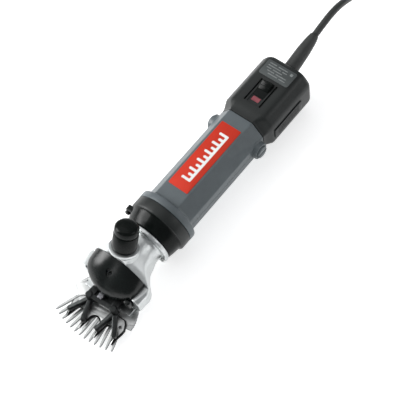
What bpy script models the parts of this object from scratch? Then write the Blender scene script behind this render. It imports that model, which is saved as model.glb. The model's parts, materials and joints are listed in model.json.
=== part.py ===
"""Electric sheep shears: motor body, gear stage, cast head, swinging fork, cutter and comb.

All sizes below are in millimetres in the shears' own frame: x across, y along the motor
axis (front is negative, y = 0 where the grey housing meets the gear housing) and z up,
with the motor axis at z = 0.  The empty "shears_axis" carries every part and stands the
whole object on the ground with its origin below the middle of its length.
"""

import math

import bmesh
import bpy
import numpy as np
from mathutils import Matrix, Vector

MM = 0.001
GAP = 0.3

# Where the motor axis stands in the world
AXIS_HEIGHT = 33.7
FRAME_SHIFT = -34.0

# Motor housing
BODY_FRONT = 0.15
BODY_REAR = 129.85
FLANGE_RADIUS = 33.7
FLANGE_DEPTH = 8.0
BODY_WIDTH = 27.5
BODY_HEIGHT = 25.4
BODY_CHAMFER = 27.3
CHAMFER_ANGLE = math.radians(37.3)
WALL = 2.4
BRUSH_Y = 119.0
BOSS_RADIUS = 9.4
BOSS_REACH = 32.4
BRUSH_CAP_RADIUS = 7.2
BRUSH_CAP_REACH = 34.4

# Rear cap
CAP_FRONT = 130.15
CAP_REAR = 209.5
CAP_WIDTH = 31.0
CAP_TOP = 27.0
CAP_FLOOR = 33.7
CAP_WALL = 3.0

# Switch in the rear cap
POCKET_HALF = 9.65
POCKET_FRONT = 148.0
POCKET_REAR = 179.0
POCKET_DEPTH = 1.2
SLIDER_FRONT = 166.0
SLIDER_REAR = 178.4
SWITCH_TRAVEL = 10.0

# Cord guard and cord
GUARD_TILT = math.radians(14.0)
GUARD_Z = 9.4
GUARD_LENGTH = 50.0
CORD_RADIUS = 3.9
HANK_LIFT = 1.6
HANK_RUN = 145.5
HANK_INNER = 23.4
HANK_LAYERS = 6
HANK_FRONT = 400.3
PLUG_LENGTH = 38.0
PLUG_THICKNESS = 14.4

# Gear stage
MODULE = 0.6
PINION_TEETH = 10
GEAR_TEETH = 40
PRESSURE = math.radians(20.0)
PINION_ADDENDUM = 0.54
GEAR_ADDENDUM = 0.36
TOOTH_CLEARANCE = 0.12
BACKLASH = 0.1
CRANK_DROP = MODULE * (PINION_TEETH + GEAR_TEETH) / 2

# Crank and fork
CRANK_THROW = 3.5
CRANK_REST = math.radians(-55.0)
ROLLER_RADIUS = 3.0
PIVOT_Y = -66.0
FORK_LEVER = 26.0
FORK_REST = math.radians(4.73)
FORK_TOP = -9.8
FORK_BOTTOM = -16.5

# Head, comb and cutter
HEAD_REAR = -27.3
FLANGE_FRONT = -32.0
HEAD_FLANGE_RADIUS = 28.0
HEAD_FLANGE_DROP = -3.0
HEAD_FLOOR = 27.9
BED_THICKNESS = 3.0
COVER_REAR = -68.3
COMB_TOP = -28.2
COMB_THICKNESS = 3.0
COMB_TEETH = 13
COMB_ARC_CENTRE = -32.4
COMB_ARC_RADIUS = 109.4
COMB_WIDTH = 76.5
CUTTER_BOTTOM = -27.9
CUTTER_THICKNESS = 3.0

# Tension nut: its axis leans to the rear from its base point
KNOB_BASE = (0.0, -54.5, 29.0)
KNOB_LEAN = math.radians(25.3)
KNOB_RADIUS = 12.8
KNOB_LENGTH = 29.2

PARTS = "sheep_shears"
TOOLS = "cutters"


def collection(name):
    made = bpy.data.collections.new(name)
    bpy.context.scene.collection.children.link(made)
    return made


def clear_scene():
    for obj in list(bpy.data.objects):
        bpy.data.objects.remove(obj)


def material(name, colour, roughness, metallic=0.0):
    made = bpy.data.materials.new(name)
    made.use_nodes = True
    shader = made.node_tree.nodes["Principled BSDF"]
    shader.inputs["Base Color"].default_value = (*colour, 1.0)
    shader.inputs["Roughness"].default_value = roughness
    shader.inputs["Metallic"].default_value = metallic
    made.diffuse_color = (*colour, 1.0)
    return made


def place(obj, finish, location=(0, 0, 0), rotation=(0, 0, 0)):
    """Put the object into the model, in the shears' frame, with a material of its own."""
    bpy.data.collections[PARTS].objects.link(obj)
    obj.parent = bpy.data.objects["shears_axis"]
    obj.location = Vector(location) * MM
    obj.rotation_euler = rotation
    obj.data.materials.append(material(obj.name, *finish))
    return obj


def from_bmesh(name, bm, finish, location=(0, 0, 0), rotation=(0, 0, 0)):
    bmesh.ops.scale(bm, vec=(MM, MM, MM), verts=bm.verts)
    mesh = bpy.data.meshes.new(name)
    bm.to_mesh(mesh)
    bm.free()
    mesh.shade_smooth()
    mesh.set_sharp_from_angle(angle=math.radians(35))
    return place(bpy.data.objects.new(name, mesh), finish, location, rotation)


def as_cutter(obj):
    """Take the object out of the model and keep it as a guide for Booleans."""
    bpy.data.collections[PARTS].objects.unlink(obj)
    bpy.data.collections[TOOLS].objects.link(obj)
    obj.hide_render = True
    obj.display_type = "WIRE"
    return obj


def boolean(obj, operation, *others):
    for other in others:
        as_cutter(other)
        step = obj.modifiers.new(f"{operation} {other.name}", "BOOLEAN")
        step.operation = operation
        step.object = other
        step.solver = "EXACT"
    return obj


def cut(obj, *cutters):
    return boolean(obj, "DIFFERENCE", *cutters)


def join(obj, *pieces):
    return boolean(obj, "UNION", *pieces)


def box(name, low, high, finish, bevel=0.0):
    bm = bmesh.new()
    bmesh.ops.create_cube(bm, size=1.0)
    size = [b - a for a, b in zip(low, high)]
    centre = [(a + b) / 2 for a, b in zip(low, high)]
    bmesh.ops.scale(bm, vec=size, verts=bm.verts)
    obj = from_bmesh(name, bm, finish, centre)
    if bevel:
        edge = obj.modifiers.new("Bevel", "BEVEL")
        edge.width = bevel * MM
        edge.segments = 2
    return obj


def rod(name, radius, start, end, finish, sides=18):
    """A plain round rod between two points."""
    start = Vector(start)
    end = Vector(end)
    bm = bmesh.new()
    bmesh.ops.create_cone(
        bm, cap_ends=True, segments=sides, radius1=radius, radius2=radius,
        depth=(end - start).length,
    )
    turn = Vector((0, 0, 1)).rotation_difference(end - start).to_euler()
    return from_bmesh(name, bm, finish, (start + end) / 2, turn)


ALONG_Y = (math.radians(-90), 0, 0)
ALONG_X = (0, math.radians(90), 0)


def turned(name, profile, finish, location=(0, 0, 0), rotation=ALONG_Y, steps=24, ring=False):
    """A turned piece.  The profile is (radius, height) from its top down its outer side."""
    mesh = bpy.data.meshes.new(name)
    edges = [(i, i + 1) for i in range(len(profile) - 1)]
    if ring:
        edges.append((len(profile) - 1, 0))
    mesh.from_pydata([(r * MM, 0, s * MM) for r, s in profile], edges, [])
    obj = place(bpy.data.objects.new(name, mesh), finish, location, rotation)
    screw = obj.modifiers.new("Screw", "SCREW")
    screw.steps = steps
    screw.render_steps = steps
    screw.use_merge_vertices = True
    screw.merge_threshold = 0.00001
    screw.use_smooth_shade = True
    return obj


def tube_profile(outer, inner, low, high):
    return [(outer, high), (outer, low), (inner, low), (inner, high)]


def mesh_of_curve(obj):
    """Turn a curve object into a mesh object with its caps welded on."""
    bpy.context.view_layer.update()
    graph = bpy.context.evaluated_depsgraph_get()
    mesh = bpy.data.meshes.new_from_object(obj.evaluated_get(graph))
    bm = bmesh.new()
    bm.from_mesh(mesh)
    bmesh.ops.remove_doubles(bm, verts=bm.verts, dist=0.000001)
    bm.to_mesh(mesh)
    bm.free()
    name = obj.name
    where = obj.matrix_basis.copy()
    bpy.data.objects.remove(obj)
    solid = bpy.data.objects.new(name, mesh)
    bpy.data.collections[PARTS].objects.link(solid)
    solid.parent = bpy.data.objects["shears_axis"]
    solid.matrix_basis = where
    return solid


def plate(name, outline, low, high, finish, rotation=(0, 0, 0), location=(0, 0, 0)):
    """A flat outline given a thickness, from low to high along its own z."""
    curve = bpy.data.curves.new(name, "CURVE")
    curve.dimensions = "2D"
    curve.fill_mode = "BOTH"
    curve.extrude = (high - low) / 2 * MM
    spline = curve.splines.new("POLY")
    spline.points.add(len(outline) - 1)
    for point, (x, y) in zip(spline.points, outline):
        point.co = (x * MM, y * MM, 0, 1)
    spline.use_cyclic_u = True
    obj = place(bpy.data.objects.new(name, curve), finish)
    obj.rotation_euler = rotation
    middle = Vector((0, 0, (low + high) / 2))
    middle.rotate(obj.rotation_euler)
    obj.location = (Vector(location) + middle) * MM
    return mesh_of_curve(obj)


def tube(name, points, radius, finish, cyclic=False, resolution=2):
    """A round bar or cord along a list of points."""
    curve = bpy.data.curves.new(name, "CURVE")
    curve.dimensions = "3D"
    curve.bevel_depth = radius * MM
    curve.bevel_resolution = resolution
    curve.use_fill_caps = not cyclic
    spline = curve.splines.new("POLY")
    spline.points.add(len(points) - 1)
    for point, place_mm in zip(spline.points, points):
        point.co = (*(Vector(place_mm) * MM), 1)
    spline.use_cyclic_u = cyclic
    return place(bpy.data.objects.new(name, curve), finish)


def section(width, top, floor=None, chamfer=None, under=None, radius=3.0, angle=CHAMFER_ANGLE,
            drop=0.0, steps=2):
    """An eight-sided outline with round corners: points (x, z), counter-clockwise.

    Each side is given by its distance from the centre: the two upright sides by width, the
    top and the floor by their own, and the slanted ones by chamfer above and under below.
    """
    floor = top if floor is None else floor
    chamfer = BODY_CHAMFER if chamfer is None else chamfer
    under = chamfer if under is None else under
    right = math.pi
    normals = [
        (0, width), (angle, chamfer), (right / 2, top), (right - angle, chamfer),
        (right, width), (right + angle, under), (1.5 * right, floor), (2 * right - angle, under),
    ]
    points = []
    for (a, near), (b, far) in zip(normals, normals[1:] + [(2 * right, width)]):
        near, far = near - radius, far - radius
        turn = math.sin(b - a)
        x = (near * math.sin(b) - far * math.sin(a)) / turn
        z = (far * math.cos(a) - near * math.cos(b)) / turn
        for t in np.linspace(a, b, steps + 1):
            points.append((x + radius * math.cos(t), z + radius * math.sin(t) + drop))
    return points


def circle(radius, drop=0.0, angle=CHAMFER_ANGLE):
    """A circle with the same number of points; each corner keeps a sliver of flat beside it."""
    return section(radius, radius, chamfer=radius, radius=0.96 * radius, angle=angle, drop=drop)


def face_outwards(bm):
    bmesh.ops.recalc_face_normals(bm, faces=bm.faces)
    if bm.calc_volume(signed=True) < 0:
        bmesh.ops.reverse_faces(bm, faces=bm.faces)


def loft(name, loops, finish, cyclic=False):
    """Skin a row of (y, outline) loops.  A cyclic row closes on itself, as a sleeve does."""
    bm = bmesh.new()
    rings = [[bm.verts.new((x, y, z)) for x, z in outline] for y, outline in loops]
    pairs = list(zip(rings, rings[1:]))
    if cyclic:
        pairs.append((rings[-1], rings[0]))
    for near, far in pairs:
        for i in range(len(near)):
            j = (i + 1) % len(near)
            bm.faces.new((near[i], near[j], far[j], far[i]))
    if not cyclic:
        bm.faces.new(rings[0])
        bm.faces.new(rings[-1])
    face_outwards(bm)
    return from_bmesh(name, bm, finish)


GREY = ((0.13, 0.145, 0.155), 0.45)
BLACK = ((0.02, 0.022, 0.023), 0.5)
GLOSS = ((0.03, 0.035, 0.035), 0.2)
SILVER = ((0.72, 0.73, 0.73), 0.35, 1.0)
STEEL = ((0.75, 0.75, 0.76), 0.15, 1.0)
DARK_STEEL = ((0.12, 0.13, 0.13), 0.35, 1.0)
COPPER = ((0.6, 0.25, 0.12), 0.35, 1.0)
IRON = ((0.3, 0.3, 0.31), 0.4, 1.0)
BRASS = ((0.7, 0.5, 0.2), 0.3, 1.0)
CARBON = ((0.03, 0.03, 0.03), 0.7)
RED = ((0.75, 0.02, 0.015), 0.4)
RUBBER = ((0.015, 0.015, 0.016), 0.6)
WHITE = ((0.8, 0.8, 0.78), 0.5)


# ---------------------------------------------------------------- casing


def build_motor_housing():
    outer = section(BODY_WIDTH, BODY_HEIGHT)
    inner = section(
        BODY_WIDTH - WALL, BODY_HEIGHT - WALL, chamfer=BODY_CHAMFER - WALL, radius=1.5
    )
    loops = [
        (BODY_FRONT, circle(FLANGE_RADIUS)),
        (FLANGE_DEPTH, circle(FLANGE_RADIUS)),
        (FLANGE_DEPTH, section(BODY_WIDTH + 0.6, BODY_HEIGHT + 0.6, chamfer=BODY_CHAMFER + 0.6)),
        (FLANGE_DEPTH + 4, outer),
        (BODY_REAR, outer),
        (BODY_REAR, inner),
        (BODY_FRONT, inner),
    ]
    housing = loft("motor_housing", loops, GREY, cyclic=True)
    for side in (-1, 1):
        inside = (side * (BODY_WIDTH - 2), BRUSH_Y, 0)
        outside = (side * BOSS_REACH, BRUSH_Y, 0)
        join(housing, rod(f"boss_{side}", BOSS_RADIUS, inside, outside, GREY))
    reach = BRUSH_CAP_REACH + 2
    cut(housing, rod("cap_bore", BRUSH_CAP_RADIUS + GAP, (-reach, BRUSH_Y, 0),
                     (reach, BRUSH_Y, 0), GREY))


def build_labels():
    low = BODY_HEIGHT + GAP
    box("name_label", (-12.45, 26.7, low), (12.45, 114.5, low + 0.6), RED)
    low = CAP_TOP + GAP
    box("rating_plate", (-18.6, 183.0, low), (18.6, 203.0, low + 0.6), DARK_STEEL)


def cap_section(inset=0.0, trim=0.0):
    """The rear cap's outline, taken in by inset on every side and by trim above and below."""
    off = inset + trim
    return section(
        CAP_WIDTH - off, CAP_TOP - off, floor=CAP_FLOOR - off, chamfer=33.3 - off,
        under=33.1 - off, radius=3.0 if inset < 1 else 1.5,
    )


def build_rear_cap():
    neck = section(BODY_WIDTH, BODY_HEIGHT)
    neck_inner = section(
        BODY_WIDTH - CAP_WALL, BODY_HEIGHT - CAP_WALL, chamfer=BODY_CHAMFER - CAP_WALL, radius=1.5
    )
    loops = [
        (CAP_REAR, cap_section(trim=4.5)),
        (CAP_REAR - 1.4, cap_section(trim=2.0)),
        (CAP_REAR - 3.6, cap_section(trim=0.6)),
        (CAP_REAR - 7.0, cap_section()),
        (143.0, cap_section()),
        (132.0, neck),
        (CAP_FRONT, neck),
        (CAP_FRONT, neck_inner),
        (132.0, neck_inner),
        (143.0, cap_section(inset=CAP_WALL)),
        (CAP_REAR - 10.5, cap_section(inset=CAP_WALL)),
        (CAP_REAR - 3.0, cap_section(inset=CAP_WALL, trim=4.0)),
    ]
    cap = loft("rear_cap", loops, BLACK)
    floor = CAP_TOP - POCKET_DEPTH
    cut(
        cap,
        box("pocket", (-POCKET_HALF, POCKET_FRONT, floor), (POCKET_HALF, POCKET_REAR, 40), BLACK),
        box("mark_seat", (-5.0, 152.0, floor - 1.0), (5.0, 158.0, 40), BLACK),
        box("stem_slot", (-2.0, 159.4, 10), (2.0, 174.6, 40), BLACK),
        rod("guard_hole", 7.2, guard_point(-12), guard_point(12), BLACK),
    )


def build_filter():
    low = CAP_WIDTH + GAP
    box("air_filter_cover", (low, 144.0, -7.0), (low + 1.0, 190.0, 7.0), BLACK)


def build_switch():
    floor = CAP_TOP - POCKET_DEPTH
    box("switch_mark", (-4.7, 152.3, floor - 0.7), (4.7, 157.7, floor - 0.1), RED)
    box("switch_body", (-8.0, 158.0, 6.0), (8.0, 176.0, 17.0), WHITE)
    low = floor + GAP
    front, rear = SLIDER_FRONT + 0.7, SLIDER_REAR - 0.7
    side_view = [
        (front, low + 0.4), (rear, low + 0.4), (rear, low + 1.8), (rear - 0.8, CAP_TOP + 4.2),
        (rear - 1.8, CAP_TOP + 4.8), (front + 5.0, CAP_TOP + 3.6), (front + 0.4, low + 1.6),
    ]
    slider = plate("switch_slider", side_view, -6.0, 6.0, BLACK,
                   rotation=(math.radians(90), 0, math.radians(90)))
    join(
        slider,
        box("slider_base", (-9.2, SLIDER_FRONT, low), (9.2, SLIDER_REAR, low + 1.1), BLACK),
        box("slider_stem", (-1.6, 170.0, 17.4), (1.6, 174.0, low + 0.6), BLACK),
    )


# ---------------------------------------------------------------- cord


def guard_point(along):
    return (
        0.0,
        CAP_REAR + along * math.cos(GUARD_TILT),
        GUARD_Z + along * math.sin(GUARD_TILT),
    )


def build_guard():
    profile = [
        (0, GUARD_LENGTH), (4.4, GUARD_LENGTH), (5.2, GUARD_LENGTH - 1.0), (6.0, 40.0),
        (7.0, 28.0), (7.6, 16.0), (8.0, 8.0), (8.2, 2.9), (6.6, 2.9), (6.6, -5.8), (8.6, -5.8),
        (8.6, -7.6), (0, -7.6),
    ]
    tilt = (math.radians(-90) + GUARD_TILT, 0, 0)
    turned("cord_guard", profile, RUBBER, guard_point(0), tilt, steps=16)


CORD_ROUTE = [
    (0.0, 275.0), (-0.4, 290.0), (-1.4, 304.0), (-3.2, 318.0), (-6.0, 332.0), (-9.6, 346.0),
    (-13.8, 361.0), (-18.0, 376.0), (-21.4, 391.0), (-23.2, 402.0),
]
CORD_HEIGHTS = [58.4, 59.0, 55.4, 47.8, 37.4, 26.6, 16.6, 9.2, 6.0, 5.5]


def smooth_route(points, spacing):
    """Points along a Catmull-Rom curve through the given ones, about spacing apart."""
    points = [np.array(p, float) for p in points]
    padded = [2 * points[0] - points[1]] + points + [2 * points[-1] - points[-2]]
    route = []
    for a, b, c, d in zip(padded, padded[1:], padded[2:], padded[3:]):
        count = max(1, round(float(np.linalg.norm(c - b)) / spacing))
        for t in np.arange(count) / count:
            route.append(
                0.5 * (2 * b + (c - a) * t + (2 * a - 5 * b + 4 * c - d) * t * t
                       + (3 * b - a - 3 * c + d) * t ** 3)
            )
    route.append(points[-1])
    return [tuple(p) for p in route]


def hank_layout():
    """Half width, end centres and height of the folded hank."""
    half = HANK_INNER + 3 * CORD_RADIUS
    near = HANK_FRONT + half
    return half, near, near + HANK_RUN, HANK_LAYERS * 2 * CORD_RADIUS


def build_cord():
    half, near, far, height = hank_layout()
    ground = -AXIS_HEIGHT
    lift = ground + HANK_LIFT
    start = guard_point(GUARD_LENGTH + GAP)
    route = [start]
    route += [(x, y, ground + z) for (x, y), z in zip(CORD_ROUTE, CORD_HEIGHTS)]
    entry = near - math.sqrt(half ** 2 - HANK_INNER ** 2)
    bottom = lift + CORD_RADIUS
    route.append((-HANK_INNER, entry - CORD_RADIUS, bottom))
    tube("mains_cord", smooth_route(route, 12.0), CORD_RADIUS, RUBBER, resolution=3)
    outline = []
    for centre, first in ((far, 0.0), (near, math.pi)):
        for t in np.linspace(first, first + math.pi, 13):
            outline.append((half * math.cos(t), centre + half * math.sin(t)))
    plate("cord_hank", outline, lift, lift + height, RUBBER)
    middle = (near + far) / 2
    band = box("cord_tie", (-half - 1.2, middle - 7, ground + 0.2),
               (half + 1.2, middle + 7, lift + height + 1.2), RUBBER)
    cut(band, box("tie_inside", (-half - GAP, middle - 9, lift - GAP),
                  (half + GAP, middle + 9, lift + height + GAP), RUBBER))
    outer = HANK_INNER + 2 * CORD_RADIUS
    leave = far + math.sqrt(half ** 2 - outer ** 2)
    plug = far + half + 6.0
    plug_height = ground + PLUG_THICKNESS / 2 + 0.15
    tube("mains_cord_end",
         [(-outer, leave + 8.0, bottom), (-outer, leave + 16.0, bottom + 0.2),
          (-outer, plug - 8.0, plug_height), (-outer, plug - GAP, plug_height)],
         CORD_RADIUS, RUBBER, resolution=3)
    build_plug(-outer, plug, plug_height)


def build_plug(x, y, z):
    side = [(4.6, 0), (5.6, 6.0), (6.2, 8.0), (12.0, 16.0), (12.6, 20.0), (12.6, PLUG_LENGTH)]
    outline = [(x + a, y + b) for a, b in side] + [(x - a, y + b) for a, b in reversed(side)]
    half = PLUG_THICKNESS / 2
    plug = plate("plug_body", outline, z - half, z + half, RUBBER)
    for number, offset in enumerate((-9.5, 9.5)):
        centre = (x + offset, y + PLUG_LENGTH, z)
        pin = (x + offset, y + PLUG_LENGTH + 19.0, z)
        inside = (x + offset, y + PLUG_LENGTH - 6.0, z)
        cut(plug, rod(f"pin_hole_{number}", 2.4 + GAP, inside, pin, RUBBER))
        start = (centre[0], centre[1] - 5.7, z)
        rod(("plug_pin_left", "plug_pin_right")[number], 2.4, start, pin, BRASS, sides=16)


# ---------------------------------------------------------------- motor


def sector(radius, first, last, steps):
    return [(radius * math.cos(t), radius * math.sin(t)) for t in np.linspace(first, last, steps)]


def build_stator():
    core = turned("stator_core", tube_profile(22.4, 13.8, 55.0, 100.0), IRON, ring=True)
    coil_angle = math.radians(42)
    coil_radius = 18.0
    for name, turn in (("field_coil_top", 0.0), ("field_coil_bottom", math.pi)):
        path = []
        for y, angles in ((52.5, (-1, 1)), (102.5, (1, -1))):
            for t in np.linspace(angles[0] * coil_angle, angles[1] * coil_angle, 7):
                away = turn + math.pi / 2 - t
                path.append((coil_radius * math.cos(away), y, coil_radius * math.sin(away)))
        tube(name, path, 2.6, COPPER, cyclic=True)
        for number, side in enumerate((-1, 1)):
            away = turn + math.pi / 2 + side * coil_angle
            x, z = coil_radius * math.cos(away), coil_radius * math.sin(away)
            cut(core, rod(f"slot_{name}_{number}", 3.1, (x, 50, z), (x, 105, z), IRON, sides=12))


def build_armature():
    shaft = [
        (0, 142), (3.6, 142), (4.0, 141.4), (4.0, -5.8), (2.4, -5.8), (2.4, -6.5), (0, -6.5)
    ]
    turned("armature_shaft", shaft, STEEL, steps=20)
    slots = 8
    outline = []
    for i in range(slots):
        middle = 2 * math.pi * i / slots
        half_tooth = math.radians(14)
        outline += sector(13.2, middle - half_tooth, middle + half_tooth, 5)
        outline += sector(7.4, middle + math.radians(15.5), middle + math.radians(29.5), 2)
    core = plate("armature_core", outline, 57, 98, IRON, rotation=ALONG_Y)
    cut(core, rod("core_bore", 4.0 + GAP, (0, 50, 0), (0, 105, 0), IRON, sides=20))
    winding = turned("armature_winding", [
        (12.0, 55.5), (12.4, 54.0), (11.0, 50.5), (5.2, 49.5), (5.2, 56.7), (12.0, 56.7)
    ][::-1], COPPER, ring=True)
    rear = turned("winding_rear", [
        (12.0, 98.3), (5.2, 98.3), (5.2, 105.5), (11.0, 104.5), (12.4, 101.0), (12.0, 99.5)
    ][::-1], COPPER, ring=True)
    join(winding, rear)
    for i in range(slots):
        away = 2 * math.pi * (i + 0.5) / slots
        x, z = 10.6 * math.cos(away), 10.6 * math.sin(away)
        join(winding, rod(f"slot_wire_{i}", 1.0, (x, 52, -z), (x, 103, -z), COPPER, sides=6))
    turned("commutator", tube_profile(10.0, 4.0 + GAP, 112.0, 126.0), COPPER, ring=True)
    fan = turned("cooling_fan", [
        (7.5, 46), (7.5, 36), (20.5, 36), (20.5, 34.8), (4.3, 34.8), (4.3, 46)
    ], WHITE, ring=True)
    for i in range(9):
        away = 2 * math.pi * i / 9
        blade = box(f"fan_blade_{i}", (6.5, 35.2, -0.7), (20.0, 44.5, 0.7), WHITE)
        blade.rotation_euler = (0, away, 0)
        blade.location = Matrix.Rotation(away, 4, "Y") @ blade.location
        join(fan, blade)


def build_bearings():
    names = (
        ("rear_bearing", 8.0, 4.3, 133.0, 139.0, 0.0),
        ("front_bearing", 8.0, 4.3, -5.5, -0.6, 0.0),
        ("crank_bearing_rear", 5.0, 2.8, -5.5, -1.5, -CRANK_DROP),
        ("crank_bearing_front", 8.0, 4.3, -32.8, -28.0, -CRANK_DROP),
    )
    for name, outer, inner, low, high, z in names:
        turned(name, tube_profile(outer, inner, low, high), STEEL, (0, 0, z), ring=True, steps=24)


def build_brushes():
    for name, side in (("left", -1), ("right", 1)):
        def at(low, high, half):
            ends = sorted((side * low, side * high))
            return (ends[0], BRUSH_Y - half, -half), (ends[1], BRUSH_Y + half, half)

        box(f"brush_{name}", *at(10.4, 18.0, 2.6), CARBON)
        holder = box(f"brush_holder_{name}", *at(12.5, 24.4, 4.0), BRASS)
        cut(holder, box(f"holder_hole_{name}", *at(8.0, 30.0, 2.9), BRASS))
        turns, start, end = 4, 18.9, 26.4
        steps = 8 * turns
        coil = []
        for i in range(steps + 1):
            t = 2 * math.pi * i / 8
            x = start + (end - start) * i / steps
            coil.append((side * x, BRUSH_Y + 1.9 * math.cos(t), 1.9 * math.sin(t)))
        tube(f"brush_spring_{name}", coil, 0.45, STEEL)
        cap = turned(
            f"brush_cap_{name}",
            [(0, BRUSH_CAP_REACH), (6.4, BRUSH_CAP_REACH), (BRUSH_CAP_RADIUS, BRUSH_CAP_REACH - 0.8),
             (BRUSH_CAP_RADIUS, 27.2), (0, 27.2)],
            BLACK, (0, BRUSH_Y, 0), (0, side * math.radians(90), 0), steps=28,
        )
        ends = sorted((side * (BRUSH_CAP_REACH - 1.2), side * (BRUSH_CAP_REACH + 1)))
        cut(cap, box(f"cap_slot_{name}", (ends[0], BRUSH_Y - 8, -0.8), (ends[1], BRUSH_Y + 8, 0.8),
                     BLACK))


# ---------------------------------------------------------------- gear stage


def involute(angle):
    return math.tan(angle) - angle


def gear_outline(teeth, addendum, other_addendum, phase):
    """Involute teeth, thinned by the backlash, one tooth centred on the phase angle."""
    pitch = MODULE * teeth / 2
    base = pitch * math.cos(PRESSURE)
    tip = pitch + addendum
    root = pitch - other_addendum - TOOTH_CLEARANCE
    middle = math.pi / (2 * teeth) - BACKLASH / pitch + involute(PRESSURE)
    start = max(base, root)
    flank = []
    for radius in np.linspace(start, tip, 3):
        flank.append((radius, middle - involute(math.acos(base / radius))))
    if root < base:
        flank.insert(0, (root, flank[0][1]))
    outline = []
    for i in range(teeth):
        centre = phase + 2 * math.pi * i / teeth
        for radius, half in flank:
            outline.append((radius * math.cos(centre - half), radius * math.sin(centre - half)))
        for radius, half in reversed(flank):
            outline.append((radius * math.cos(centre + half), radius * math.sin(centre + half)))
    return outline


def build_gears():
    gap_phase = math.pi / 2 + math.pi / PINION_TEETH
    pinion = gear_outline(PINION_TEETH, PINION_ADDENDUM, GEAR_ADDENDUM, gap_phase)
    plate("pinion", pinion, -15.0, -6.8, STEEL, rotation=ALONG_Y)
    teeth = gear_outline(GEAR_TEETH, GEAR_ADDENDUM, PINION_ADDENDUM, -math.pi / 2)
    gear = plate("crank_gear", teeth, -14.4, -8.4, DARK_STEEL, rotation=ALONG_Y,
                 location=(0, 0, -CRANK_DROP))
    cut(gear, rod("gear_bore", 4.3, (0, -20, -CRANK_DROP), (0, 0, -CRANK_DROP), STEEL, sides=20))


def build_crank():
    profile = [
        (0, -1.0), (2.5, -1.0), (2.5, -6.4), (4.0, -6.4), (4.0, -33.6), (5.8, -33.6),
        (5.8, -36.2), (0, -36.2),
    ]
    shaft = turned("crank_shaft", profile, STEEL, (0, 0, -CRANK_DROP), steps=24)
    x = CRANK_THROW * math.sin(CRANK_REST)
    z = CRANK_THROW * math.cos(CRANK_REST) - CRANK_DROP
    join(shaft, rod("crank_pin", 1.6, (x, -35.4, z), (x, -43.8, z), STEEL, sides=16))
    turned("crank_roller", tube_profile(ROLLER_RADIUS, 1.9, -43.0, -37.2), STEEL, (x, 0, z),
           ring=True, steps=24)


def build_gear_housing():
    loops = [
        (-BODY_FRONT, circle(33.5)),
        (-11.5, circle(33.5)),
        (-13.5, circle(31.6)),
        (-16.0, circle(30.2, drop=-0.6)),
        (-26.9, circle(27.4, drop=HEAD_FLANGE_DROP)),
        (-26.9, circle(24.6, drop=HEAD_FLANGE_DROP)),
        (-16.0, circle(27.8, drop=-0.6)),
        (-12.0, circle(30.8)),
        (-BODY_FRONT, circle(30.8)),
    ]
    housing = loft("gear_housing", loops, BLACK, cyclic=True)
    join(housing, box("clamp_lug", (-37.0, -17.0, -1.0), (-27.5, -10.0, 8.0), BLACK, bevel=1.0))
    turned("clamp_screw", [(0, 2.6), (2.2, 2.6), (2.8, 2.0), (2.8, 0.0), (0, 0.0)], STEEL,
           (-33.8, -17.3, 3.6), (math.radians(90), 0, 0), steps=20)
    plate_body = turned("bearing_plate", [(0, -1.6), (29.8, -1.6), (29.8, -5.4), (0, -5.4)],
                        SILVER, steps=28)
    cut(
        plate_body,
        rod("front_seat", 8.3, (0, -8, 0), (0, 2, 0), SILVER),
        rod("crank_seat", 5.3, (0, -8, -CRANK_DROP), (0, 2, -CRANK_DROP), SILVER),
    )


# ---------------------------------------------------------------- head


def knob_point(along):
    return (
        0.0,
        KNOB_BASE[1] + along * math.sin(KNOB_LEAN),
        KNOB_BASE[2] + along * math.cos(KNOB_LEAN),
    )


def head_section(width, top, chamfer, floor=HEAD_FLOOR, under=None, radius=6.0):
    return section(width, top, floor=floor, chamfer=chamfer, under=under or chamfer + 4,
                   radius=radius, angle=math.radians(45))


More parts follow.
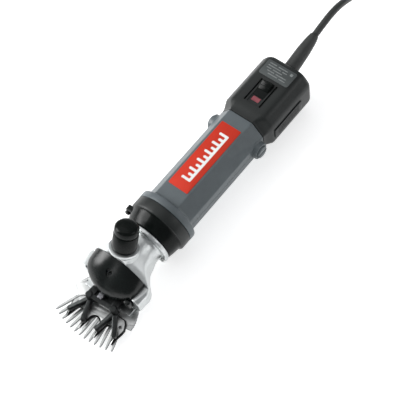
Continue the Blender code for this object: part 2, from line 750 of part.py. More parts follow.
def build_head():
    tilt = math.radians(45)
    loops = [
        (HEAD_REAR, circle(HEAD_FLANGE_RADIUS, HEAD_FLANGE_DROP, tilt)),
        (FLANGE_FRONT, circle(HEAD_FLANGE_RADIUS, HEAD_FLANGE_DROP, tilt)),
        (FLANGE_FRONT, circle(21.8, -2.4, tilt)),
        (-38.0, circle(22.3, -2.2, tilt)),
        (-47.0, head_section(23.2, 20.4, 22.4, floor=25.0, radius=14)),
        (-54.0, head_section(24.8, 23.4, 24.5, floor=26.5, radius=12)),
        (-61.0, head_section(30.0, 25.5, 26.0, floor=27.4, under=34, radius=9)),
        (-67.0, head_section(36.4, 25.0, 26.0, under=39, radius=6)),
        (-72.5, head_section(39.4, 22.0, 26.0, under=41, radius=4)),
        (-87.5, head_section(38.6, 10.0, 24.0, under=41, radius=3)),
    ]
    head = loft("head_casting", loops, SILVER)
    low, high = knob_point(-22), knob_point(-4)
    join(head, rod("nut_boss", 15.3, low, high, SILVER, sides=32))
    join(head, box("comb_bed", (-30, -97, -HEAD_FLOOR), (30, -80, -HEAD_FLOOR + BED_THICKNESS),
                   SILVER))
    inner_floor = HEAD_FLOOR - BED_THICKNESS
    cavity = loft("head_cavity", [
        (-33.4, circle(19.6, -2.4, tilt)),
        (-47.0, head_section(19.8, 17.4, 19.4, floor=21.8, radius=11)),
        (-54.0, head_section(21.4, 20.0, 21.0, floor=23.2, radius=9)),
        (-61.0, head_section(26.4, 21.0, 22.4, floor=inner_floor, radius=6)),
        (-68.0, head_section(30.5, 21.0, 23.4, floor=inner_floor, under=36, radius=2)),
        (-99.0, head_section(30.5, 21.0, 23.4, floor=inner_floor, under=36, radius=2)),
    ], SILVER)
    cut(
        head, cavity,
        box("cover_room", (-50, -110, -0.5), (50, COVER_REAR + GAP, 60), SILVER),
        rod("nut_seat", 15.7, knob_point(-3.9), knob_point(14), SILVER, sides=28),
        rod("nut_thread_bore", 8.0, knob_point(-30), knob_point(4), SILVER),
        rod("crank_bore", 8.3, (0, -36, -CRANK_DROP), (0, -20, -CRANK_DROP), SILVER),
    )
    for name, side in (("left", -1), ("right", 1)):
        x, z = side * 24.7, -8.0
        cut(head, rod(f"flange_hole_{name}", 1.8, (x, -40, z), (x, -20, z), SILVER, sides=16))
        screw = [(0, 3.4), (2.2, 3.4), (2.4, 3.0), (2.4, 0.3), (1.5, 0.3), (1.5, -4.4), (0, -4.4)]
        turned(f"head_screw_{name}", screw, STEEL, (x, FLANGE_FRONT, z),
               (math.radians(90), 0, 0), steps=20)
        x = side * 12.0
        cut(head, rod(f"bed_hole_{name}", 2.6, (x, -90, -40), (x, -90, -20), SILVER, sides=16))
    post = [(0, -11.6), (2.2, -11.6), (2.9, -12.6), (2.9, -17.2), (4.6, -17.2), (6.4, -22.2),
            (6.4, -24.6), (0, -24.6)]
    turned("pivot_post", post, STEEL, (0, PIVOT_Y, 0), (0, 0, 0), steps=24)


def cover_loop(width, rim, top, valley):
    """One arch of the front cover: two lobes with a valley between them."""
    points = []
    for t in np.linspace(0, math.pi, 17):
        x = width * math.cos(t)
        rise = math.sin(t) ** 0.8
        dip = valley * math.exp(-((x / 7.0) ** 2))
        points.append((x, rim + (top - rim) * rise - dip))
    return points


def build_cover():
    stations = [
        (COVER_REAR, 32.0, -0.1, 24.5, 1.5), (-75.0, 32.0, -0.1, 21.0, 3.5),
        (-82.0, 31.2, -0.1, 16.5, 4.0), (-88.0, 27.8, -1.0, 11.5, 3.5),
        (-93.0, 21.0, -3.0, 6.5, 2.5), (-96.6, 12.5, -4.5, 2.0, 1.2), (-98.4, 5.0, -5.4, -1.5, 0.4),
    ]
    wall = 2.0
    bm = bmesh.new()
    rings = []
    for y, width, rim, top, valley in stations:
        outer = cover_loop(width, rim, top, valley)
        inner = cover_loop(max(width - wall, 2.5), rim, max(top - wall, rim + 0.8), valley)
        loop = outer + inner[::-1]
        rings.append([bm.verts.new((x, y, z)) for x, z in loop])
    for near, far in zip(rings, rings[1:]):
        for i in range(len(near)):
            j = (i + 1) % len(near)
            bm.faces.new((near[i], near[j], far[j], far[i]))
    bm.faces.new(rings[0])
    bm.faces.new(rings[-1])
    face_outwards(bm)
    cover = from_bmesh("head_cover", bm, GLOSS)
    # a foot on the right side only, which closes the gap beside the fork
    join(cover, box("foot_root", (24.6, -92.0, -7.5), (31.2, -87.7, 0.9), GLOSS))
    join(cover, box("foot", (26.6, -94.6, -13.4), (31.8, -88.4, -3.4), GLOSS))
    cut(cover, rod("cover_hole", 2.7, (0, -82.5, 0), (0, -82.5, 30), GLOSS, sides=20))
    rod("cover_screw", 2.3, (0, -82.5, 2.0), (0, -82.5, 12.6), STEEL, sides=20)


def build_comb():
    half_angle = math.asin(COMB_WIDTH / 2 / COMB_ARC_RADIUS)
    pitch = 2 * half_angle / (COMB_TEETH - 1)
    gap_bottom = COMB_ARC_RADIUS - 27.0
    outline = []

    def at(angle, radius):
        return (radius * math.sin(angle), COMB_ARC_CENTRE - radius * math.cos(angle))

    for i in range(COMB_TEETH):
        middle = half_angle - pitch * i
        root, waist, tip = pitch * 0.28, pitch * 0.22, pitch * 0.10
        outline += [
            at(middle + root, gap_bottom), at(middle + waist, COMB_ARC_RADIUS - 9),
            at(middle + tip, COMB_ARC_RADIUS - 0.7), at(middle, COMB_ARC_RADIUS),
            at(middle - tip, COMB_ARC_RADIUS - 0.7), at(middle - waist, COMB_ARC_RADIUS - 9),
            at(middle - root, gap_bottom),
        ]
        if i < COMB_TEETH - 1:
            outline.append(at(middle - pitch / 2, gap_bottom - 1.6))
    outline += [(-39.5, -106.5), (-38.6, -98.0), (-31.0, -84.0)]
    outline += [(31.0, -84.0), (38.6, -98.0), (39.5, -106.5)]
    comb = plate("comb", outline, COMB_TOP - COMB_THICKNESS, COMB_TOP, STEEL)
    for name, x in (("left", -12.0), ("right", 12.0)):
        cut(comb, rod(f"comb_hole_{name}", 2.6, (x, -90, -40), (x, -90, -20), STEEL, sides=16))
        head = COMB_TOP - COMB_THICKNESS
        screw = [(0, -25.4), (2.2, -25.4), (2.2, head - GAP), (4.6, head - GAP),
                 (4.6, head - 1.8), (0, head - 1.8)]
        turned(f"comb_screw_{name}", screw, STEEL, (x, -90, 0), (0, 0, 0), steps=20)


# ---------------------------------------------------------------- tension nut


def build_tension():
    lean = (-KNOB_LEAN, 0, 0)
    collar = [(15.0, -0.6), (15.3, -1.2), (15.3, -3.6), (7.6, -3.6), (7.6, -13.0), (3.6, -13.0),
              (3.6, 15.6), (7.6, 15.6), (7.6, -0.6)]
    turned("tension_collar", collar, SILVER, KNOB_BASE, lean, ring=True)
    knob = [
        (0, KNOB_LENGTH), (7.0, KNOB_LENGTH - 0.3), (10.4, KNOB_LENGTH - 1.2), (12.2, 25.4),
        (12.3, 20.2), (11.9, 19.8), (11.9, 19.0), (12.4, 18.6), (KNOB_RADIUS, 1.0),
        (12.4, 0.0), (8.2, 0.0), (8.2, 18.0), (0, 18.0),
    ]
    turned("tension_knob", knob, BLACK, KNOB_BASE, lean)
    pin = [(0, 17.6), (3.0, 17.6), (3.0, -39.5), (1.2, -41.6), (0, -41.6)]
    turned("tension_pin", pin, STEEL, KNOB_BASE, lean, steps=24)


# ---------------------------------------------------------------- fork, yokes and cutter


def swing(obj):
    """Turn a piece of the fork about its upright pivot to the place where it rests."""
    pivot = Vector((0, PIVOT_Y, 0)) * MM
    turn = Matrix.Translation(pivot) @ Matrix.Rotation(FORK_REST, 4, "Z")
    obj.matrix_basis = turn @ Matrix.Translation(-pivot) @ obj.matrix_basis
    return obj


HUB_X = 15.4
HUB_Y = -105.0
FEET = ((8.9, -127.4), (28.2, -124.5))


def build_fork():
    slot = 4.3
    inset = slot + 0.8
    reach = PIVOT_Y + FORK_LEVER
    arm = plate("fork", [
        (-7.2, reach + 2.2), (-inset, reach + 2.2), (-inset, reach - 4.4), (inset, reach - 4.4),
        (inset, reach + 2.2), (7.2, reach + 2.2), (7.4, reach - 6.0), (5.6, reach - 16.0),
        (9.0, PIVOT_Y + 2.0), (10.0, PIVOT_Y - 5.0), (15.0, PIVOT_Y - 14.0),
        (HUB_X + 3.2, HUB_Y + 2.0), (HUB_X + 2.0, HUB_Y - 2.8), (HUB_X - 4.0, HUB_Y - 2.2),
        (-HUB_X + 4.0, HUB_Y - 2.2), (-HUB_X - 2.0, HUB_Y - 2.8), (-HUB_X - 3.2, HUB_Y + 2.0),
        (-15.0, PIVOT_Y - 14.0), (-10.0, PIVOT_Y - 5.0), (-9.0, PIVOT_Y + 2.0),
        (-5.6, reach - 16.0), (-7.4, reach - 6.0),
    ], FORK_BOTTOM, FORK_TOP, DARK_STEEL)
    swing(arm)
    window = plate("fork_window", [
        (-9.4, PIVOT_Y - 16.0), (9.4, PIVOT_Y - 16.0), (HUB_X - 4.4, HUB_Y + 2.4),
        (-HUB_X + 4.4, HUB_Y + 2.4),
    ], FORK_BOTTOM - 3, FORK_TOP + 3, DARK_STEEL)
    bore = rod("fork_bore", 3.3, (0, PIVOT_Y, -30), (0, PIVOT_Y, -11.0), DARK_STEEL)
    tines = [
        box(f"fork_tine_{side}", (min(side * slot, side * 7.9), reach - 5.2, -17.6),
            (max(side * slot, side * 7.9), reach + 2.6, -9.0), DARK_STEEL)
        for side in (-1, 1)
    ]
    hubs = [
        rod(f"fork_hub_{side}", 3.8, (side * HUB_X, HUB_Y, -16.2), (side * HUB_X, HUB_Y, -8.4),
            DARK_STEEL)
        for side in (-1, 1)
    ]
    pins = [
        rod(f"yoke_pin_{side}", 1.9, (side * HUB_X, HUB_Y, -21.6), (side * HUB_X, HUB_Y, -10.0),
            DARK_STEEL, sides=16)
        for side in (-1, 1)
    ]
    for piece in [window, bore, *tines, *hubs, *pins]:
        swing(piece)
    join(arm, *tines, *hubs, *pins)
    cut(arm, window, bore)


def build_yokes():
    for name, side in (("left", -1), ("right", 1)):
        x = side * HUB_X
        yoke = rod(f"yoke_{name}", 4.4, (x, HUB_Y, -21.4), (x, HUB_Y, -16.9), DARK_STEEL)
        for number, (foot_x, foot_y) in enumerate(FEET):
            foot = Vector((side * foot_x, foot_y, -22.0))
            hub = Vector((x, HUB_Y, -19.2))
            away = (foot - hub).normalized()
            start = hub + away * 3.2
            leg = rod(f"leg_{name}_{number}", 1.9, start, foot, DARK_STEEL, sides=12)
            pin_top = foot + Vector((0, 0, 2.0))
            pin = rod(f"foot_{name}_{number}", 1.2, pin_top, foot - Vector((0, 0, 4.4)),
                      DARK_STEEL, sides=12)
            pad = rod(f"pad_{name}_{number}", 2.2, foot - Vector((0, 0, 2.2)), foot + Vector((0, 0, 1.9)),
                      DARK_STEEL, sides=16)
            join(yoke, swing(leg), swing(pad), swing(pin))
        bore = rod(f"yoke_bore_{name}", 2.3, (x, HUB_Y, -30), (x, HUB_Y, -10), DARK_STEEL)
        cut(yoke, swing(bore))
        swing(yoke)


def build_cutter():
    tips = [28.3, 9.43, -9.43, -28.3]
    tip_y = [-132.8, -135.8, -135.8, -132.8]
    arch_radius = 5.6
    arch_top = -117.0
    outline = [(26.9, -104.4), (32.9, -113.9), (31.4, -123.8), (29.5, -132.2)]
    for i, x in enumerate(tips):
        outline += [(x + 0.6, tip_y[i]), (x - 0.6, tip_y[i])]
        if i == len(tips) - 1:
            break
        middle = (x + tips[i + 1]) / 2
        centre = arch_top - arch_radius
        for t in np.linspace(0, math.pi, 9):
            outline.append(
                (middle + arch_radius * math.cos(t), centre + arch_radius * math.sin(t))
            )
    outline += [(-29.5, -132.2), (-31.4, -123.8), (-32.9, -113.9), (-26.9, -104.4)]
    cutter = plate("cutter", outline, CUTTER_BOTTOM, CUTTER_BOTTOM + CUTTER_THICKNESS, STEEL)
    swing(cutter)
    for side in (-1, 1):
        for number, (x, y) in enumerate(FEET):
            hole = rod(f"cutter_hole_{side}_{number}", 1.55, (side * x, y, -30),
                       (side * x, y, -20), STEEL, sides=16)
            cut(cutter, swing(hole))


def main():
    clear_scene()
    collection(PARTS)
    collection(TOOLS)
    axis = bpy.data.objects.new("shears_axis", None)
    axis.location = Vector((0, FRAME_SHIFT, AXIS_HEIGHT)) * MM
    bpy.context.scene.collection.objects.link(axis)
    bpy.context.view_layer.update()
    build_motor_housing()
    build_labels()
    build_rear_cap()
    build_filter()
    build_switch()
    build_guard()
    build_cord()
    build_stator()
    build_armature()
    build_bearings()
    build_brushes()
    build_gears()
    build_crank()
    build_gear_housing()
    build_head()
    build_cover()
    build_comb()
    build_tension()
    build_fork()
    build_yokes()
    build_cutter()


main()
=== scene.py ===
"""Looks of the electric sheep shears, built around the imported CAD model.

Shapes are drawn in millimetres in the shears' own frame: x across, y along the motor axis
(front is negative, y = 0 where the grey housing meets the gear housing) and z up, with the
motor axis at z = 0.  ORIGIN, worked out from the frame, carries them into the model.
"""

import json
import math
import bmesh
import bpy
import numpy as np
from mathutils import Matrix, Vector


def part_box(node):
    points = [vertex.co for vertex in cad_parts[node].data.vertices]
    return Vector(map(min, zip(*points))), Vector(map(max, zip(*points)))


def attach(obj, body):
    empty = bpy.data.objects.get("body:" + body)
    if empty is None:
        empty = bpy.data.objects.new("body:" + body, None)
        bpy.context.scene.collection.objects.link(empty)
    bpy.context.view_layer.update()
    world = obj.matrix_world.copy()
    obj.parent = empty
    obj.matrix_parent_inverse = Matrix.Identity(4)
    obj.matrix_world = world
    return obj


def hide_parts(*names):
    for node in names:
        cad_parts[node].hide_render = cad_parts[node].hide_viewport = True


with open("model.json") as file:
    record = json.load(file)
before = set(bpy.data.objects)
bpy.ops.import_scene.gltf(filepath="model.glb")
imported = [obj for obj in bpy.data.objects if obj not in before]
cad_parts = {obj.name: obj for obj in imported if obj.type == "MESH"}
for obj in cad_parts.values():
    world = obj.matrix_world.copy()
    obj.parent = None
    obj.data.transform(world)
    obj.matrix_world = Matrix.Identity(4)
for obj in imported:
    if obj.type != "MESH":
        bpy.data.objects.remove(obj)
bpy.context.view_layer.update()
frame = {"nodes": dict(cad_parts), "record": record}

MM = 0.001
GAP = 0.3
SIDES = (("left", -1), ("right", 1))

# The motor axis runs through the middle of the motor housing's round front flange
housing_low, housing_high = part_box("motor_housing")
ORIGIN = Vector((0, housing_low.y - GAP / 2 * MM, (housing_low.z + housing_high.z) / 2))
GROUND = -ORIGIN.z / MM


def to_world(point):
    return ORIGIN + Vector(point) * MM


def cad_middle(node):
    """The middle of a CAD node's box, in millimetres in the shears' frame."""
    low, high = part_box(node)
    return ((low + high) / 2 - ORIGIN) / MM


def cad_ends(node):
    low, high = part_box(node)
    return (low - ORIGIN) / MM, (high - ORIGIN) / MM


# ---- materials


def add_node(tree, kind, **inputs):
    """A shader node with the given input values; a space in an input's name is written as _."""
    made = tree.nodes.new("ShaderNode" + kind)
    for name, value in inputs.items():
        made.inputs[name.replace("_", " ")].default_value = value
    return made


def surface(name, colour, roughness, metallic=0.0, vary=0.12, patch=9.0, grain=0.6, bump=0.08,
            smudge=0.08, stretch=(1, 1, 1), fleck=None, specular=0.5):
    """A Principled surface with uneven colour, uneven polish and a fine relief.

    patch and grain are the sizes, in millimetres, of the large and the fine unevenness;
    stretch draws both out along an axis, as brushing or rolling does.
    """
    made = bpy.data.materials.new(name)
    made.use_nodes = True
    tree = made.node_tree
    link = tree.links.new
    shader = tree.nodes["Principled BSDF"]
    shader.inputs["Metallic"].default_value = metallic
    shader.inputs["Specular IOR Level"].default_value = specular
    scaled = add_node(tree, "Mapping", Scale=stretch)
    link(add_node(tree, "TexCoord").outputs["Object"], scaled.inputs["Vector"])
    large = add_node(tree, "TexNoise", Scale=1 / (patch * MM), Detail=3)
    fine = add_node(tree, "TexNoise", Scale=1 / (grain * MM), Detail=2)
    for noise in (large, fine):
        link(scaled.outputs["Vector"], noise.inputs["Vector"])
    ramp = add_node(tree, "ValToRGB")
    for stop, place, share in zip(ramp.color_ramp.elements, (0.35, 0.65), (1 - vary, 1 + vary)):
        stop.position = place
        stop.color = (*(min(1.0, c * share) for c in colour), 1)
    link(large.outputs["Fac"], ramp.inputs["Fac"])
    colour_out = ramp.outputs["Color"]
    if fleck:
        speck = add_node(tree, "Mix")
        speck.data_type = "RGBA"
        threshold = add_node(tree, "MapRange", From_Min=0.62, From_Max=0.70)
        link(fine.outputs["Fac"], threshold.inputs["Value"])
        link(threshold.outputs["Result"], speck.inputs["Factor"])
        link(colour_out, speck.inputs["A"])
        speck.inputs["B"].default_value = (*fleck, 1)
        colour_out = speck.outputs["Result"]
    link(colour_out, shader.inputs["Base Color"])
    polish = add_node(tree, "MapRange", To_Min=max(0.02, roughness - smudge),
                      To_Max=min(1.0, roughness + smudge))
    link(large.outputs["Fac"], polish.inputs["Value"])
    link(polish.outputs["Result"], shader.inputs["Roughness"])
    relief = add_node(tree, "Bump", Strength=bump, Distance=0.1 * MM)
    link(fine.outputs["Fac"], relief.inputs["Height"])
    link(relief.outputs["Normal"], shader.inputs["Normal"])
    return made


def banded(name, base, second, axis, period, share, roughness, metallic):
    """A surface of two colours in even bands along one axis, such as stacked sheet."""
    made = surface(name, base, roughness, metallic)
    tree = made.node_tree
    link = tree.links.new
    parts = add_node(tree, "SeparateXYZ")
    link(add_node(tree, "TexCoord").outputs["Object"], parts.inputs["Vector"])
    wave, inside = add_node(tree, "Math"), add_node(tree, "Math")
    wave.operation = "WRAP"
    wave.inputs[1].default_value = period * MM
    wave.inputs[2].default_value = 0.0
    inside.operation = "LESS_THAN"
    inside.inputs[1].default_value = period * share * MM
    mix = add_node(tree, "Mix")
    mix.data_type = "RGBA"
    mix.inputs["B"].default_value = (*second, 1)
    base_colour = tree.nodes["Principled BSDF"].inputs["Base Color"]
    link(parts.outputs[axis], wave.inputs[0])
    link(wave.outputs["Value"], inside.inputs[0])
    link(base_colour.links[0].from_socket, mix.inputs["A"])
    link(inside.outputs["Value"], mix.inputs["Factor"])
    link(mix.outputs["Result"], base_colour)
    return made


FINISH = {
    "grey_housing": surface(
        "moulded_grey", (0.100, 0.119, 0.128), 0.42, vary=0.06, patch=14, grain=0.35, bump=0.12,
        smudge=0.05),
    "black_plastic": surface(
        "moulded_black", (0.013, 0.0155, 0.0150), 0.40, patch=16, grain=0.3, bump=0.14,
        smudge=0.07, specular=0.35),
    "gloss_black": surface(
        "gloss_black", (0.0025, 0.0042, 0.0038), 0.26, vary=0.2, patch=12, grain=1.2, bump=0.02,
        smudge=0.04, specular=0.3),
    "red_label": surface(
        "red_film", (0.62, 0.034, 0.013), 0.42, vary=0.04, patch=20, grain=0.8, bump=0.03,
        specular=0.25),
    "plate_metal": surface(
        "dark_plate", (0.085, 0.095, 0.095), 0.36, metallic=0.5, vary=0.08, grain=0.25, bump=0.08,
        stretch=(0.15, 1, 1)),
    "cast_aluminium": surface(
        "cast_aluminium", (0.60, 0.62, 0.62), 0.36, metallic=1.0, vary=0.05, patch=10, grain=0.45,
        bump=0.16, smudge=0.05),
    "cutter_steel": surface(
        "ground_steel", (0.56, 0.57, 0.565), 0.34, metallic=0.8, vary=0.05, patch=7, grain=0.22,
        bump=0.06, smudge=0.06, stretch=(1, 0.12, 1)),
    "dark_steel": surface(
        "blackened_steel", (0.028, 0.030, 0.030), 0.34, metallic=0.85, vary=0.25, patch=3,
        grain=0.4, bump=0.12),
    "screw_steel": surface(
        "zinc_steel", (0.55, 0.56, 0.55), 0.28, metallic=1.0, vary=0.07, patch=2, grain=0.3,
        bump=0.08),
    "bearing_steel": surface(
        "bearing_steel", (0.62, 0.62, 0.62), 0.2, metallic=1.0, vary=0.05, patch=3, grain=0.3,
        bump=0.05, stretch=(1, 0.1, 1)),
    "lamination_steel": banded(
        "stacked_laminations", (0.26, 0.26, 0.27), (0.05, 0.05, 0.055), "Y", 0.5, 0.2, 0.45, 0.9),
    "copper_wire": banded(
        "enamelled_copper", (0.45, 0.17, 0.07), (0.16, 0.05, 0.02), "Y", 0.6, 0.25, 0.28, 0.9),
    "brass_parts": surface(
        "brass", (0.66, 0.46, 0.17), 0.26, metallic=1.0, vary=0.08, patch=3, grain=0.3, bump=0.06),
    "carbon": surface(
        "pressed_carbon", (0.022, 0.022, 0.022), 0.7, vary=0.2, patch=1.5, grain=0.2, bump=0.4,
        fleck=(0.08, 0.08, 0.08)),
    "white_plastic": surface(
        "moulded_white", (0.78, 0.78, 0.75), 0.42, vary=0.03, patch=10, grain=0.4, bump=0.08),
    "cord_rubber": surface(
        "cord_rubber", (0.026, 0.028, 0.027), 0.5, vary=0.15, patch=10, grain=0.5, bump=0.2),
}
# painted shade: a dark copy of the cutter steel for the cutter's upright faces and rounded edges,
# drawn as dark outlines
CUTTER_FLANK_SHADE = surface("cutter_flank_shade", (0.020, 0.021, 0.021), 0.28, metallic=0.9, vary=0.3, patch=2,
                grain=0.3, bump=0.15)
# painted shade: a darker copy of the comb steel for the comb's upright faces, which draws the shade
# between the teeth
COMB_FLANK_SHADE = surface("comb_flank_shade", (0.15, 0.16, 0.16), 0.3, metallic=1.0, vary=0.15, patch=2,
                     grain=0.3, bump=0.12)
# knob_black is the knob's own black and also the painted shade on the front of the gear housing
KNOB_BLACK = surface("knob_black", (0.004, 0.0055, 0.005), 0.24, vary=0.2, patch=8, grain=0.4,
                     bump=0.05, smudge=0.05, specular=0.13)
SEAT_GREY = surface("seat_grey", (0.20, 0.20, 0.215), 0.36, metallic=0.5, vary=0.1, patch=2,
                    grain=0.3, bump=0.1)
MARK_RED = surface("mark_red", (0.24, 0.05, 0.065), 0.45, patch=3, grain=0.4, bump=0.1)
WHITE_INK = surface("white_ink", (0.86, 0.86, 0.85), 0.36, vary=0.02, patch=15, grain=0.6,
                    bump=0.03)
PLATE_INK = surface("plate_ink", (0.20, 0.215, 0.215), 0.4, vary=0.1, patch=2, grain=0.3, bump=0.05)


# ---- pieces


def finish_piece(obj, nodes, slot, body="body", materials=None):
    """Give a new piece its material, tie it to the body and hide the CAD nodes it stands for."""
    if not obj.data.materials:
        for each in materials or [FINISH[slot]]:
            obj.data.materials.append(each)
    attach(obj, body)
    if nodes:
        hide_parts(*nodes)
    return obj


def add_object(name, data):
    obj = bpy.data.objects.new(name, data)
    bpy.context.scene.collection.objects.link(obj)
    return obj


def shade(mesh, sharp):
    """Smooth shading, with the edges above the given angle left sharp."""
    mesh.shade_smooth()
    if sharp:
        mesh.set_sharp_from_angle(angle=math.radians(sharp))


def from_bmesh(name, bm, sharp=32):
    """A mesh object in the model from a bmesh drawn in the shears' frame."""
    bmesh.ops.transform(
        bm, matrix=Matrix.Translation(ORIGIN) @ Matrix.Scale(MM, 4), verts=bm.verts
    )
    mesh = bpy.data.meshes.new(name)
    bm.to_mesh(mesh)
    bm.free()
    shade(mesh, sharp)
    return add_object(name, mesh)


def bridge(bm, near, far, closed=True):
    """Faces between two rows of vertices."""
    for i in range(len(near) if closed else len(near) - 1):
        j = (i + 1) % len(near)
        bm.faces.new((near[i], near[j], far[j], far[i]))


def face_outwards(bm):
    bmesh.ops.recalc_face_normals(bm, faces=bm.faces)
    if bm.calc_volume(signed=True) < 0:
        bmesh.ops.reverse_faces(bm, faces=bm.faces)


def settle(obj, sharp=32):
    """Apply the object's modifiers."""
    bpy.context.view_layer.update()
    graph = bpy.context.evaluated_depsgraph_get()
    mesh = bpy.data.meshes.new_from_object(obj.evaluated_get(graph))
    obj.modifiers.clear()
    old = obj.data
    obj.data = mesh
    bpy.data.meshes.remove(old)
    shade(mesh, sharp)
    return obj


def combine(obj, operation, *others):
    for other in others:
        step = obj.modifiers.new("step", "BOOLEAN")
        step.operation = operation
        step.object = other
        step.solver = "EXACT"
    settle(obj)
    for other in others:
        bpy.data.objects.remove(other)
    return obj


def cut(obj, *cutters):
    return combine(obj, "DIFFERENCE", *cutters)


def join(obj, *pieces):
    return combine(obj, "UNION", *pieces)


def soften(obj, width, segments=3, angle=32, material=-1):
    """Round the sharp edges, if wished in a material of their own."""
    step = obj.modifiers.new("Bevel", "BEVEL")
    step.width = width * MM
    step.segments = segments
    step.limit_method = "ANGLE"
    step.angle_limit = math.radians(angle)
    step.material = material
    return settle(obj, 40)


def recast(obj, voxel, rounds=4, factor=0.5):
    """Turn joined shapes into one skin with the soft fillets of a casting or a forging."""
    step = obj.modifiers.new("Remesh", "REMESH")
    step.mode = "VOXEL"
    step.voxel_size = voxel * MM
    smooth = obj.modifiers.new("Smooth", "SMOOTH")
    smooth.iterations = rounds
    smooth.factor = factor
    return settle(obj, 0)


def box(name, low, high):
    bm = bmesh.new()
    bmesh.ops.create_cube(bm, size=1.0)
    low, high = Vector(low), Vector(high)
    bmesh.ops.scale(bm, vec=high - low, verts=bm.verts)
    bmesh.ops.translate(bm, vec=(low + high) / 2, verts=bm.verts)
    return from_bmesh(name, bm)


def frame_along(start, direction):
    """The placing that turns local z along a direction and moves the origin to start."""
    turn = Vector((0, 0, 1)).rotation_difference(Vector(direction)).to_matrix().to_4x4()
    return Matrix.Translation(Vector(start)) @ turn


def turned(name, profile, base=(0, 0, 0), along=(0, 0, 1), steps=72, ring=False, sharp=32):
    """A turned piece about an axis.  The profile is (radius, distance along the axis)."""
    bm = bmesh.new()
    rings = []
    for radius, s in profile:
        if radius < 1e-6:
            rings.append([bm.verts.new((0, 0, s))])
            continue
        rings.append([
            bm.verts.new((radius * math.cos(2 * math.pi * i / steps),
                          radius * math.sin(2 * math.pi * i / steps), s))
            for i in range(steps)
        ])
    pairs = list(zip(rings, rings[1:]))
    if ring:
        pairs.append((rings[-1], rings[0]))
    for a, b in pairs:
        for i in range(steps if len(a) + len(b) > 2 else 0):
            j = i + 1
            corners = (a[i % len(a)], b[i % len(b)], b[j % len(b)], a[j % len(a)])
            bm.faces.new(list(dict.fromkeys(corners)))
    face_outwards(bm)
    bmesh.ops.transform(bm, matrix=frame_along(base, along), verts=bm.verts)
    return from_bmesh(name, bm, sharp)


def rod(name, radius, start, end, steps=48):
    start, end = Vector(start), Vector(end)
    length = (end - start).length
    return turned(name, [(0, length), (radius, length), (radius, 0), (0, 0)], start, end - start,
                  steps)


def plate(name, outline, low, high):
    """A flat outline given a thickness, from low to high."""
    bm = bmesh.new()
    bottom = [bm.verts.new((x, y, low)) for x, y in outline]
    face = bm.faces.new(bottom)
    grown = bmesh.ops.extrude_face_region(bm, geom=[face])["geom"]
    bmesh.ops.translate(
        bm, vec=(0, 0, high - low), verts=[v for v in grown if isinstance(v, bmesh.types.BMVert)]
    )
    face_outwards(bm)
    return from_bmesh(name, bm)


def ease(t):
    """A soft start and a soft stop between 0 and 1."""
    t = min(1.0, max(0.0, t))
    return t * t * (3 - 2 * t)


def smooth_rows(rows, count):
    """Values along a smooth curve through rows of numbers, evenly over the rising first one."""
    rows = np.array(rows, float)
    keys, values = rows[:, 0], rows[:, 1:]
    slopes = np.gradient(values, keys, axis=0)
    made = []
    for place in np.linspace(keys[0], keys[-1], count):
        i = int(np.clip(np.searchsorted(keys, place) - 1, 0, len(keys) - 2))
        span = keys[i + 1] - keys[i]
        t = (place - keys[i]) / span
        h = (2 * t ** 3 - 3 * t ** 2 + 1, t ** 3 - 2 * t ** 2 + t,
             3 * t ** 2 - 2 * t ** 3, t ** 3 - t ** 2)
        made.append((place, *(h[0] * values[i] + h[1] * span * slopes[i]
                              + h[2] * values[i + 1] + h[3] * span * slopes[i + 1])))
    return made


CHAMFER_ANGLE = math.radians(37.3)
BODY_CHAMFER = 27.3
STEPS = 7


def section(width, top, floor=None, chamfer=BODY_CHAMFER, under=None, radius=3.0, angle=CHAMFER_ANGLE,
            drop=0.0, steps=STEPS):
    """An eight-sided outline with round corners: points (x, z), counter-clockwise."""
    floor = top if floor is None else floor
    under = chamfer if under is None else under
    right = math.pi
    normals = [
        (0, width), (angle, chamfer), (right / 2, top), (right - angle, chamfer),
        (right, width), (right + angle, under), (1.5 * right, floor), (2 * right - angle, under),
    ]
    points = []
    for (a, near), (b, far) in zip(normals, normals[1:] + [(2 * right, width)]):
        near, far = near - radius, far - radius
        turn = math.sin(b - a)
        x = (near * math.sin(b) - far * math.sin(a)) / turn
        z = (far * math.cos(a) - near * math.cos(b)) / turn
        for t in np.linspace(a, b, steps + 1):
            points.append((x + radius * math.cos(t), z + radius * math.sin(t) + drop))
    return points


def circle(radius, drop=0.0, angle=CHAMFER_ANGLE, steps=STEPS):
    return section(radius, radius, chamfer=radius, radius=0.99 * radius, angle=angle, drop=drop,
                   steps=steps)


def loft(name, loops, cyclic=False, bottom=None):
    """Skin a row of (y, outline) loops.

    A cyclic row closes on itself, as a sleeve does.  A cup's row does too, but it has a bottom:
    the number of the loop where its outer skin ends and from where its inner skin comes back.
    """
    bm = bmesh.new()
    rings = [[bm.verts.new((x, y, z)) for x, z in outline] for y, outline in loops]
    pairs = list(zip(rings, rings[1:]))
    ends = [] if cyclic else [rings[0], rings[-1]]
    if bottom is not None:
        ends = list(pairs.pop(bottom))
    if cyclic:
        pairs.append((rings[-1], rings[0]))
    for near, far in pairs:
        bridge(bm, near, far)
    for ring in ends:
        bm.faces.new(ring)
    face_outwards(bm)
    return from_bmesh(name, bm)


def rounded_rectangle(width, length, radius, middle=(0, 0), steps=6):
    """The outline of a rectangle with round corners, by its half width and half length."""
    points = []
    corners = ((width - radius, length - radius, 0), (-width + radius, length - radius, 1),
               (-width + radius, -length + radius, 2), (width - radius, -length + radius, 3))
    for x, y, quarter in corners:
        for t in np.linspace(0, math.pi / 2, steps + 1):
            a = t + quarter * math.pi / 2
            points.append((middle[0] + x + radius * math.cos(a),
                           middle[1] + y + radius * math.sin(a)))
    return points


def pad(name, size, middle, low, high):
    """A flat piece with round corners, from its half width, half length and corner radius."""
    return plate(name, rounded_rectangle(*size, middle), low, high)


# ---- motor housing

BODY_WIDTH, BODY_HEIGHT = 27.5, 25.4
FLANGE_RADIUS = 33.7
BRUSH_Y = 119.0
CAP_WIDTH, CAP_TOP, CAP_FLOOR = 31.0, 27.0, 33.7


